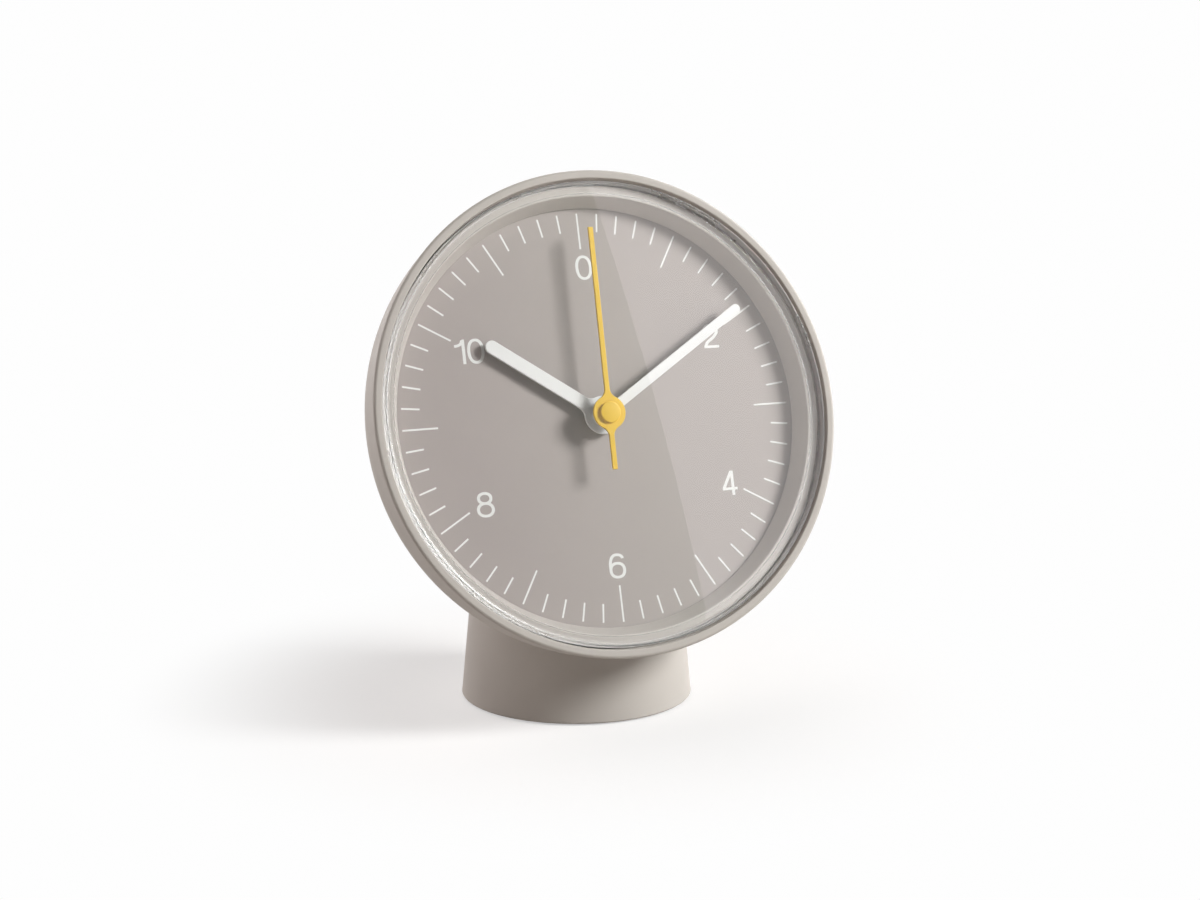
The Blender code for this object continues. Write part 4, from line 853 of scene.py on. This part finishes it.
def ribbon(shape, line, closed, low, high, centre):
    """A thin band along a line, slightly wider where it runs upright."""
    count = len(line)
    if closed:
        line = line[:-1]
        count -= 1
    rows = []
    for i, (x, y) in enumerate(line):
        before = Vector(line[i - 1]) if closed or i else Vector(line[0])
        after = Vector(line[(i + 1) % count]) if closed or i < count - 1 else Vector(line[-1])
        along = (after - before).normalized()
        width = STROKE_LEVEL + (STROKE_UPRIGHT - STROKE_LEVEL) * abs(along.y)
        side = Vector((-along.y, along.x)) * width / 2
        middle = Vector((x, y)) * MM + Vector(centre)
        corners = ((middle + side, low), (middle + side, high), (middle - side, high), (middle - side, low))
        rows.append([shape.verts.new((*spot, level)) for spot, level in corners])
    pairs = list(zip(rows, rows[1:]))
    if closed:
        pairs.append((rows[-1], rows[0]))
    for first, second in pairs:
        for i in range(4):
            j = (i + 1) % 4
            shape.faces.new((first[i], first[j], second[j], second[i]))
    if not closed:
        shape.faces.new(rows[0])
        shape.faces.new(rows[-1])


def draw_glyph(shape, strokes, centre):
    """Adds a numeral's strokes, each a little higher than the one before, so that no two faces meet."""
    height = PRINT_RISE
    for kind, line in strokes:
        height += PRINT_STEP
        if kind == "fill":
            outline = [(x * MM + centre[0], y * MM + centre[1]) for x, y in line]
            merge(shape, flat([outline], 0, height))
        else:
            ribbon(shape, line, kind == "ring", 0, height, centre)


def make_numerals():
    glyphs = glyph_strokes()
    shape = bmesh.new()
    for text, (radius, degrees) in NUMERAL_PLACES.items():
        turn_by = math.radians(degrees)
        centre = Vector((radius * math.sin(turn_by), radius * math.cos(turn_by)))
        if text == "10":
            for digit, aside in TEN_DIGITS:
                draw_glyph(shape, glyphs[digit], centre + Vector((aside, 0)))
        else:
            draw_glyph(shape, glyphs[text], centre)
    piece("dial_numerals", shape, FINISH["print"])


def make_ring():
    flange = side_radius(0) - CASE_WALL - SEAT_GAP
    top = SEAT_GAP + RING_RISE + RING_TOP
    slope_top = RING_RADIUS + RING_FLARE
    outline = [
        (slope_top + RING_TOP / 2, top),
        (flange, top),
        (flange, top - RING_THICK),
        (slope_top + RING_THICK, top - RING_THICK),
        (RING_RADIUS + RING_THICK, SEAT_GAP),
        (RING_RADIUS, SEAT_GAP),
        (slope_top, SEAT_GAP + RING_RISE),
    ]
    shape = turned(soften(outline, least=20))
    piece("dial_ring_fine", shape, FINISH["ring"], nodes=["dial_ring"])


def lens_profile():
    """The dome, the crown's wall, the flange with its upright rim, and the underside."""
    flange = side_radius(-FLANGE_BASE) - CASE_WALL - SEAT_GAP
    window = CROWN_RADIUS - CROWN_ROUND
    inner = CROWN_RADIUS - CROWN_WALL
    dome_radius = (window**2 + LENS_DOME**2) / (2 * LENS_DOME)

    def dome(radius, drop):
        return CROWN_TOP + LENS_DOME - drop - dome_radius + math.sqrt(dome_radius**2 - radius**2)

    shares = [step / DOME_STEPS for step in range(DOME_STEPS + 1)]
    outline = [(window * share, dome(window * share, 0)) for share in shares]
    outline += arc((window, CROWN_TOP - CROWN_ROUND), CROWN_ROUND, math.pi / 2, 0, CROWN_STEPS)[1:]
    rim = flange - RIM_WIDTH
    rim_top = LIP_HEIGHT - RIM_DROP
    outline += [(CROWN_RADIUS, CROWN_BASE), (rim, CROWN_BASE)]
    outline += arc((rim + RIM_ROUND, rim_top - RIM_ROUND), RIM_ROUND, math.pi, math.pi / 2, RIM_STEPS)
    outline += arc((flange - RIM_ROUND, rim_top - RIM_ROUND), RIM_ROUND, math.pi / 2, 0, RIM_STEPS)
    outline += [(flange, FLANGE_BASE), (inner, FLANGE_BASE)]
    outline += [(inner * share, dome(inner * share, LENS_THICK)) for share in reversed(shares)]
    return outline


def make_lens():
    outline = soften(lens_profile(), closed=False, least=60)
    shape = turned(outline, LENS_STEPS, closed=False)
    lens = piece("lens_fine", shape, FINISH["lens"], nodes=["lens"])
    lens.data.materials.append(FINISH["lens_edge"])
    to_dial = DIAL.inverted()
    for face in lens.data.polygons:
        if (to_dial @ face.center).xy.length > CROWN_RADIUS + HAZE_INSET:
            face.material_index = 1
    lugs = bmesh.new()
    near, far, half = CROWN_RADIUS + LUG_GAP, CROWN_RADIUS + LUG_WIDTH, LUG_LENGTH / 2
    outline = [(near, -half), (far, -half), (far, half), (near, half)]
    for number in range(LUG_COUNT):
        lug = flat([outline], CROWN_BASE + LUG_GAP, CROWN_BASE + LUG_RISE, LUG_EDGE)
        merge(lugs, turn(lug, math.pi / 2 + number * 2 * math.pi / LUG_COUNT))
    piece("lens_lugs", lugs, FINISH["lens"], slab=True)


# Hands

def blade_side(hub, width, length, round_tip):
    """One side of a blade from the hub to the tip, and the angle at which it leaves the hub."""
    half = width / 2
    rise = math.sqrt((hub + HAND_FILLET) ** 2 - (half + HAND_FILLET) ** 2)
    lean = math.atan2(rise, half + HAND_FILLET)
    side = arc((half + HAND_FILLET, rise), HAND_FILLET, math.pi + lean, math.pi, HAND_STEPS // 2)
    if round_tip:
        side += arc((0, length - half), half, 0, math.pi / 2, HAND_STEPS // 2)
    else:
        side += [(half, length)]
    return side, lean


def hand_outline(hub, width, length, round_tip, tail=0):
    right, lean = blade_side(hub, width, length, round_tip)
    left = [(-x, y) for x, y in reversed(right) if x > MERGE_GAP]
    if not tail:
        rest = arc((0, 0), hub, math.pi - lean, 2 * math.pi + lean, 4 * HAND_STEPS)[1:-1]
        return right + left + rest
    low, low_lean = blade_side(hub, width, tail, round_tip)
    low_left = [(-x, -y) for x, y in low]
    low_right = [(x, -y) for x, y in reversed(low) if x > MERGE_GAP]
    left_arc = arc((0, 0), hub, math.pi - lean, math.pi + low_lean, HAND_STEPS)[1:-1]
    right_arc = arc((0, 0), hub, -low_lean, lean, HAND_STEPS)[1:-1]
    return right + left + left_arc + low_left + low_right + right_arc


def make_blade(name, sizes, angle, finish, body, cad, bore=0, collar=0, tail=0):
    """A hand with a round hub and a back painted dark to deepen its shadow on the dial, and a collar below it
    that fits its arbor.
    """
    outline = hand_outline(sizes["hub"], sizes["width"], sizes["length"], not tail, tail)
    loops = [outline, circle(bore, BORE_STEPS)] if bore else [outline]
    shape = turn(flat(loops, sizes["low"], sizes["low"] + sizes["thick"], HAND_EDGE), angle)
    obj = piece(name, shape, finish, body, cad, slab=True)
    # The faces turned to the dial take the dark back: painted shade that deepens the hand's shadow on the
    # dial
    obj.data.materials.append(FINISH["shadow_deepening_back"])
    outward = DIAL.col[2].to_3d()
    for face in obj.data.polygons:
        if face.normal.dot(outward) < BACK_FACING:
            face.material_index = 1
    if collar:
        top = sizes["low"] + EDGE_SOFT
        base = sizes["low"] - COLLAR_LENGTH
        wall = collar + COLLAR_WALL
        sleeve = turned([(collar, top), (wall, top), (wall, base), (collar, base)], BORE_STEPS)
        piece(name + "_collar", sleeve, finish, body)


def make_hands():
    white, yellow = FINISH["white"], FINISH["yellow"]
    make_blade("hour_hand_fine", HOUR_SIZES, HOUR_ANGLE, white, "hour_works",
               ["hour_hand"], bore=HOUR_BORE)
    make_blade("minute_hand_fine", MINUTE_SIZES, MINUTE_ANGLE, white, "minute_works",
               ["minute_hand"], bore=MINUTE_BORE, collar=MINUTE_BORE)
    make_blade("second_hand_fine", SECOND_SIZES, SECOND_ANGLE, yellow, "second_arbor",
               ["second_hand"], collar=SECOND_BORE, tail=SECOND_TAIL)
    low = SECOND_SIZES["low"] + SECOND_SIZES["thick"] / 2
    top = SECOND_SIZES["low"] + SECOND_SIZES["thick"] + SECOND_CAP_RISE
    rim = (SECOND_CAP_RADIUS - SECOND_CAP_ROUND, top - SECOND_CAP_ROUND)
    outline = [(0, top), *arc(rim, SECOND_CAP_ROUND, math.pi / 2, 0, CAP_ROUND_STEPS)]
    outline += [(SECOND_CAP_RADIUS, low), (0, low)]
    cap = turned(outline, CAP_STEPS, closed=False)
    piece("second_hand_cap", cap, yellow, "second_arbor")


# Foot

def foot_radius(level):
    return FOOT_RADIUS - (level - FOOT_RIM) * FOOT_SLOPE


def bowl_cutter(name, grow):
    """The outside of the bowl, larger by a gap."""
    outline = [(0, LIP_HEIGHT), (LIP_RADIUS + grow, LIP_HEIGHT)]
    outline += arc(BOWL_CENTRE, BOWL_RADIUS + grow, -CASE_TAPER, -math.pi / 2, BOWL_STEPS)
    outline.append((0, outline[-1][1]))
    return mesh_object(name, turned(outline, FOOT_STEPS, closed=False))


def above_cutter(name, drop):
    """All that lies above a plane that leans with the dial."""
    low = Vector((-LIP_RADIUS, -drop, -2 * LIP_RADIUS))
    high = Vector((LIP_RADIUS, LIP_RADIUS, LIP_RADIUS))
    return mesh_object(name, box(high - low, Matrix.Translation((low + high) / 2)))


def make_foot():
    shoulder_low = PAD_THICK + SEAT_GAP + BASE_THICK + SEAT_GAP
    shoulder_high = shoulder_low + SHOULDER_RISE
    ceiling = FOOT_HEIGHT + ROOM_REACH
    room = [
        (0, ceiling),
        (foot_radius(ceiling) - FOOT_WALL, ceiling),
        (foot_radius(shoulder_high) - FOOT_WALL, shoulder_high),
        (PAD_RADIUS - SHOULDER, shoulder_low),
        (PAD_RADIUS + BASE_INSET, shoulder_low),
        (PAD_RADIUS + BASE_INSET, -ROOM_REACH),
        (0, -ROOM_REACH),
    ]
    cavity = mesh_object("foot_cavity", turned(room, FOOT_STEPS, closed=False), WORLD)
    cutters = [bowl_cutter("bowl_and_wall", SEAT_GAP + FOOT_WALL)]
    cutters.append(above_cutter("above_room", FOOT_TOP_DROP + FOOT_WALL))
    cavity = mesh_object("foot_room", carve(cavity, cutters), WORLD)
    edge = (foot_radius(FOOT_RIM) - FOOT_ROUND, FOOT_RIM + FOOT_ROUND)
    outline = [(0, FOOT_HEIGHT)]
    levels = [FOOT_HEIGHT * (1 - row / FOOT_ROWS) for row in range(FOOT_ROWS)]
    outline += [(foot_radius(level), level) for level in levels]
    outline += arc(edge, FOOT_ROUND, -FOOT_SLOPE, -math.pi / 2, FOOT_ROUND_STEPS)
    outline.append((0, FOOT_RIM))
    cone = mesh_object("foot_cone", turned(outline, FOOT_STEPS, closed=False), WORLD)
    cutters = [bowl_cutter("bowl_and_gap", SEAT_GAP), above_cutter("above_foot", FOOT_TOP_DROP), cavity]
    piece("foot_fine", carve(cone, cutters), FINISH["case"], nodes=["foot"], place=WORLD)


def make_pad():
    outline = [(0, PAD_THICK), (PAD_RADIUS, PAD_THICK)]
    outline += arc((PAD_RADIUS - PAD_ROUND, PAD_ROUND), PAD_ROUND, 0, -math.pi / 2, PAD_ROUND_STEPS)
    outline.append((0, 0))
    pad = turned(outline, closed=False)
    piece("base_pad_fine", pad, FINISH["rubber"], nodes=["base_pad"], place=WORLD)


# Back

def rounded_box(left, right, bottom, top, corner, steps=8):
    outline = []
    spots = ((right, top, 0), (left, top, 1), (left, bottom, 2), (right, bottom, 3))
    for x, y, quarter in spots:
        centre = (x - math.copysign(corner, x), y - corner if quarter < 2 else y + corner)
        outline += arc(centre, corner, quarter * math.pi / 2, (quarter + 1) * math.pi / 2, steps)
    return outline


def make_cover():
    radius = RECESS_RADIUS - COVER_GAP
    top = CELL_RADIUS + WINDOW_MARGIN - CELL_DROP
    bottom = -CELL_RADIUS - WINDOW_MARGIN - CELL_DROP
    half = math.sqrt(radius**2 - bottom**2) - WINDOW_RIM
    loops = [circle(radius, TURN_STEPS), rounded_box(-half, half, bottom, top, WINDOW_CORNER)]
    loops.append(circle(KNOB_WINDOW, KNOB_WINDOW_STEPS, KNOB_CENTRE))
    loops += [circle(SCREW_HOLE, SCREW_HOLE_STEPS, spot) for spot in ear_places()]
    shape = flat(loops, -COVER_BACK, -COVER_FRONT, COVER_EDGE)
    piece("rear_cover_fine", shape, FINISH["case"], nodes=["rear_cover"], slab=True)


def make_cover_screws():
    """Pan heads with a cross recess."""
    level = -COVER_BACK - SEAT_GAP
    top = level - SCREW_HEAD_RISE
    tip = level + (COVER_THICK + LEDGE_THICK - SCREW_SHORT)
    side = (SCREW_HEAD - SCREW_HEAD_RISE / 3, top + SCREW_ROUND)
    outline = [(0, top), *arc(side, SCREW_ROUND, -math.pi / 2, -math.pi / 8, SCREW_ROUND_STEPS)]
    outline += [(SCREW_HEAD, level), (SCREW_SHANK, level), (SCREW_SHANK, tip), (0, tip)]
    bars = ((CROSS_WIDE, CROSS_LONG, CROSS_DEEP), (CROSS_LONG, CROSS_WIDE, CROSS_DEEP))
    for number, spot in enumerate(ear_places()):
        name = f"rear_cover_screw_{number + 1}"
        head = mesh_object(name + "_head", turned(outline, SCREW_STEPS, closed=False, centre=spot))
        lay = Matrix.Translation((*spot, top)) @ Matrix.Rotation(CROSS_TURN + number, 4, "Z")
        cutters = [mesh_object(f"{name}_bar_{i}", box(size, lay)) for i, size in enumerate(bars)]
        piece(name + "_fine", carve(head, cutters), FINISH["steel"], nodes=[name], place=WORLD)


def make_knob():
    """A ribbed skin over the solid knob."""
    grips = []
    for number in range(KNOB_GRIPS):
        start = 2 * math.pi * number / KNOB_GRIPS
        for step in range(KNOB_GRIP_STEPS):
            share = step / KNOB_GRIP_STEPS
            wave = 0.5 + 0.5 * math.cos(2 * math.pi * share)
            radius = KNOB_RADIUS + KNOB_SKIN - KNOB_GRIP_DEPTH * (1 - wave) ** KNOB_GRIP_POWER
            angle = start + share * 2 * math.pi / KNOB_GRIPS
            x, y = KNOB_CENTRE
            grips.append((x + radius * math.cos(angle), y + radius * math.sin(angle)))
    shape = flat([grips], -KNOB_FRONT - KNOB_RISE - KNOB_SKIN, -KNOB_FRONT, KNOB_EDGE)
    piece("setting_knob_fine", shape, FINISH["black"], "knob", slab=True)


def make_cell():
    """The cell with its nub and rolled ends, bare metal at both."""
    half = CELL_BODY / 2
    tip = half + NUB_RISE
    low = half - CELL_GROOVE_DEPTH
    inner, outer = CELL_GROOVE
    side = CELL_RADIUS - CELL_RIM
    nub = (NUB_RADIUS - NUB_ROUND, tip - NUB_ROUND)
    outline = [(0, tip), *arc(nub, NUB_ROUND, math.pi / 2, 0, NUB_STEPS)]
    outline += [(NUB_RADIUS, low), (inner, low), (outer, half)]
    outline += arc((side, half - CELL_RIM), CELL_RIM, math.pi / 2, 0, CELL_RIM_STEPS)
    outline += arc((side, CELL_RIM - half), CELL_RIM, 0, -math.pi / 2, CELL_RIM_STEPS)
    outline += [(outer, -half), (inner, -low), (0, -low)]
    lay = Matrix.Translation((0, -CELL_DROP, -CELL_DEPTH)) @ Matrix.Rotation(math.pi / 2, 4, "Y")
    shape = turned(outline, CELL_STEPS, closed=False)
    shape.transform(lay)
    obj = piece("aa_cell_fine", shape, FINISH["cell"], "cell", ["aa_cell"])
    obj.data.materials.append(FINISH["steel"])
    for face in obj.data.polygons:
        if abs(face.center.x) > half - CELL_METAL:
            face.material_index = 1


# Floor, light and camera

def seen_rays(tree):
    """1 for what the camera sees, also in a gloss or through glass, else 0."""
    path = node(tree, "ShaderNodeLightPath")
    total = path.outputs["Is Camera Ray"]
    for name in ("Is Glossy Ray", "Is Transmission Ray"):
        add = node(tree, "ShaderNodeMath", operation="ADD", use_clamp=True)
        wire(tree, total, add.inputs[0])
        wire(tree, path.outputs[name], add.inputs[1])
        total = add.outputs[0]
    return total


def glow(tree, strength, colour=(1, 1, 1)):
    made = node(tree, "ShaderNodeEmission")
    made.inputs["Color"].default_value = (*colour, 1)
    made.inputs["Strength"].default_value = strength
    return made


def make_floor():
    """Pale floor that keeps the shadow near the clock, painted lighter with distance, and fades into the
    white background.
    """
    mesh = bpy.data.meshes.new("floor")
    corners = [(-1, -1), (1, -1), (1, 1), (-1, 1)]
    mesh.from_pydata([(x * FLOOR_REACH, y * FLOOR_REACH, 0) for x, y in corners], [], [(0, 1, 2, 3)])
    obj = bpy.data.objects.new("floor", mesh)
    SCENE.collection.objects.link(obj)
    made, tree, shader = blank("pale_floor")
    shader.inputs["Base Color"].default_value = (*FLOOR_COLOUR, 1)
    shader.inputs["Roughness"].default_value = 0.9
    shader.inputs["Specular IOR Level"].default_value = 0.1
    shown = node(tree, "ShaderNodeBsdfDiffuse")
    shown.inputs["Color"].default_value = (*FLOOR_SEEN, 1)
    lit = node(tree, "ShaderNodeAddShader")
    wire(tree, shown.outputs[0], lit.inputs[0])
    wire(tree, glow(tree, FLOOR_GLOW).outputs[0], lit.inputs[1])
    # Painted light on the floor: away from the clock the glow takes over, so the cast shadow is painted
    # lighter with distance and is gone past FADE_END
    length = node(tree, "ShaderNodeVectorMath", operation="LENGTH")
    wire(tree, place_of(tree), length.inputs[0])
    fade = spread(tree, length.outputs["Value"], 0, 1, FADE_START, FADE_END)
    fade.node.interpolation_type = "SMOOTHSTEP"
    near_and_far = mix_shaders(tree, fade, lit.outputs[0], glow(tree, BACKGROUND).outputs[0])
    whole = mix_shaders(tree, seen_rays(tree), shader.outputs[0], near_and_far)
    wire(tree, whole, tree.nodes["Material Output"].inputs["Surface"])
    mesh.materials.append(made)


def make_world():
    """White as seen; as light, a soft room that is brighter behind the clock's left side."""
    world = bpy.data.worlds.new("studio")
    SCENE.world = world
    world.use_nodes = True
    tree = world.node_tree
    room = tree.nodes["Background"]
    room.inputs["Color"].default_value = (*AMBIENT_COLOUR, 1)
    lean = node(tree, "ShaderNodeVectorMath", operation="DOT_PRODUCT")
    wire(tree, node(tree, "ShaderNodeTexCoord").outputs["Generated"], lean.inputs[0])
    lean.inputs[1].default_value = AMBIENT_SIDE
    strength = spread(tree, lean.outputs["Value"], AMBIENT_FRONT, AMBIENT_BACK, AMBIENT_START, AMBIENT_END)
    wire(tree, strength, room.inputs["Strength"])
    white = node(tree, "ShaderNodeBackground")
    white.inputs["Color"].default_value = (1, 1, 1, 1)
    white.inputs["Strength"].default_value = BACKGROUND
    whole = mix_shaders(tree, seen_rays(tree), room.outputs[0], white.outputs[0])
    wire(tree, whole, tree.nodes["World Output"].inputs["Surface"])


def direction(azimuth, elevation):
    """Azimuth runs from -Y towards +X, both in degrees."""
    turn_by = math.radians(azimuth)
    rise = math.radians(elevation)
    return Vector((math.sin(turn_by) * math.cos(rise), -math.cos(turn_by) * math.cos(rise), math.sin(rise)))


def lamp(name, azimuth, elevation, width, height, radiance, colour):
    """A soft box that faces the dial."""
    data = bpy.data.lights.new(name, "AREA")
    data.shape = "RECTANGLE"
    data.size = width
    data.size_y = height
    data.energy = radiance * math.pi * width * height
    data.color = colour
    obj = bpy.data.objects.new(name, data)
    SCENE.collection.objects.link(obj)
    towards = direction(azimuth, elevation)
    obj.location = DIAL.translation + towards * LAMP_DISTANCE
    obj.rotation_euler = towards.to_track_quat("Z", "Y").to_euler()


def card(name, sides, rises, glows, colour, start=0):
    """An upright curved card round the clock that only a gloss shows, between two azimuths and elevations.

    Its glow changes from the first value to the second, from a share of its width to its far edge.
    """
    shape = bmesh.new()
    columns = []
    for step in range(CARD_STEPS + 1):
        turn_by = sides[0] + (sides[1] - sides[0]) * step / CARD_STEPS
        foot = DIAL.translation + direction(turn_by, 0) * CARD_DISTANCE
        ends = [foot + Vector((0, 0, CARD_DISTANCE * math.tan(math.radians(rise)))) for rise in rises]
        columns.append([shape.verts.new(end) for end in ends])
    for first, second in zip(columns, columns[1:]):
        shape.faces.new((first[0], second[0], second[1], first[1]))
    mesh = bpy.data.meshes.new(name)
    shape.to_mesh(mesh)
    shape.free()
    obj = bpy.data.objects.new(name, mesh)
    SCENE.collection.objects.link(obj)
    made, tree, _ = blank(name)
    shine = glow(tree, 1, colour)
    split = node(tree, "ShaderNodeSeparateXYZ")
    wire(tree, node(tree, "ShaderNodeTexCoord").outputs["Generated"], split.inputs[0])
    wire(tree, spread(tree, split.outputs["X"], *glows, start, 1), shine.inputs["Strength"])
    wire(tree, shine.outputs[0], tree.nodes["Material Output"].inputs["Surface"])
    mesh.materials.append(made)
    obj.visible_camera = False
    obj.visible_diffuse = False
    obj.visible_transmission = False
    obj.visible_shadow = False


def make_lights():
    lamp("key_box", **KEY_BOX)
    for name, settings in CARDS.items():
        card(name, **settings)


def make_camera():
    data = bpy.data.cameras.new("camera")
    data.sensor_width = SENSOR_WIDTH
    data.lens = CAMERA_LENS
    obj = bpy.data.objects.new("camera", data)
    SCENE.collection.objects.link(obj)
    obj.location = DIAL.translation + CAMERA_OFFSET
    obj.rotation_euler = (CAMERA_PITCH, 0, CAMERA_TURN)
    SCENE.camera = obj


make_camera()
make_world()
make_lights()
make_floor()
finish_nodes()
make_case()
make_dial()
make_ticks()
make_numerals()
make_ring()
make_lens()
make_hands()
make_foot()
make_pad()
make_cover()
make_cover_screws()
make_knob()
make_cell()

SCENE.view_settings.view_transform = "Standard"
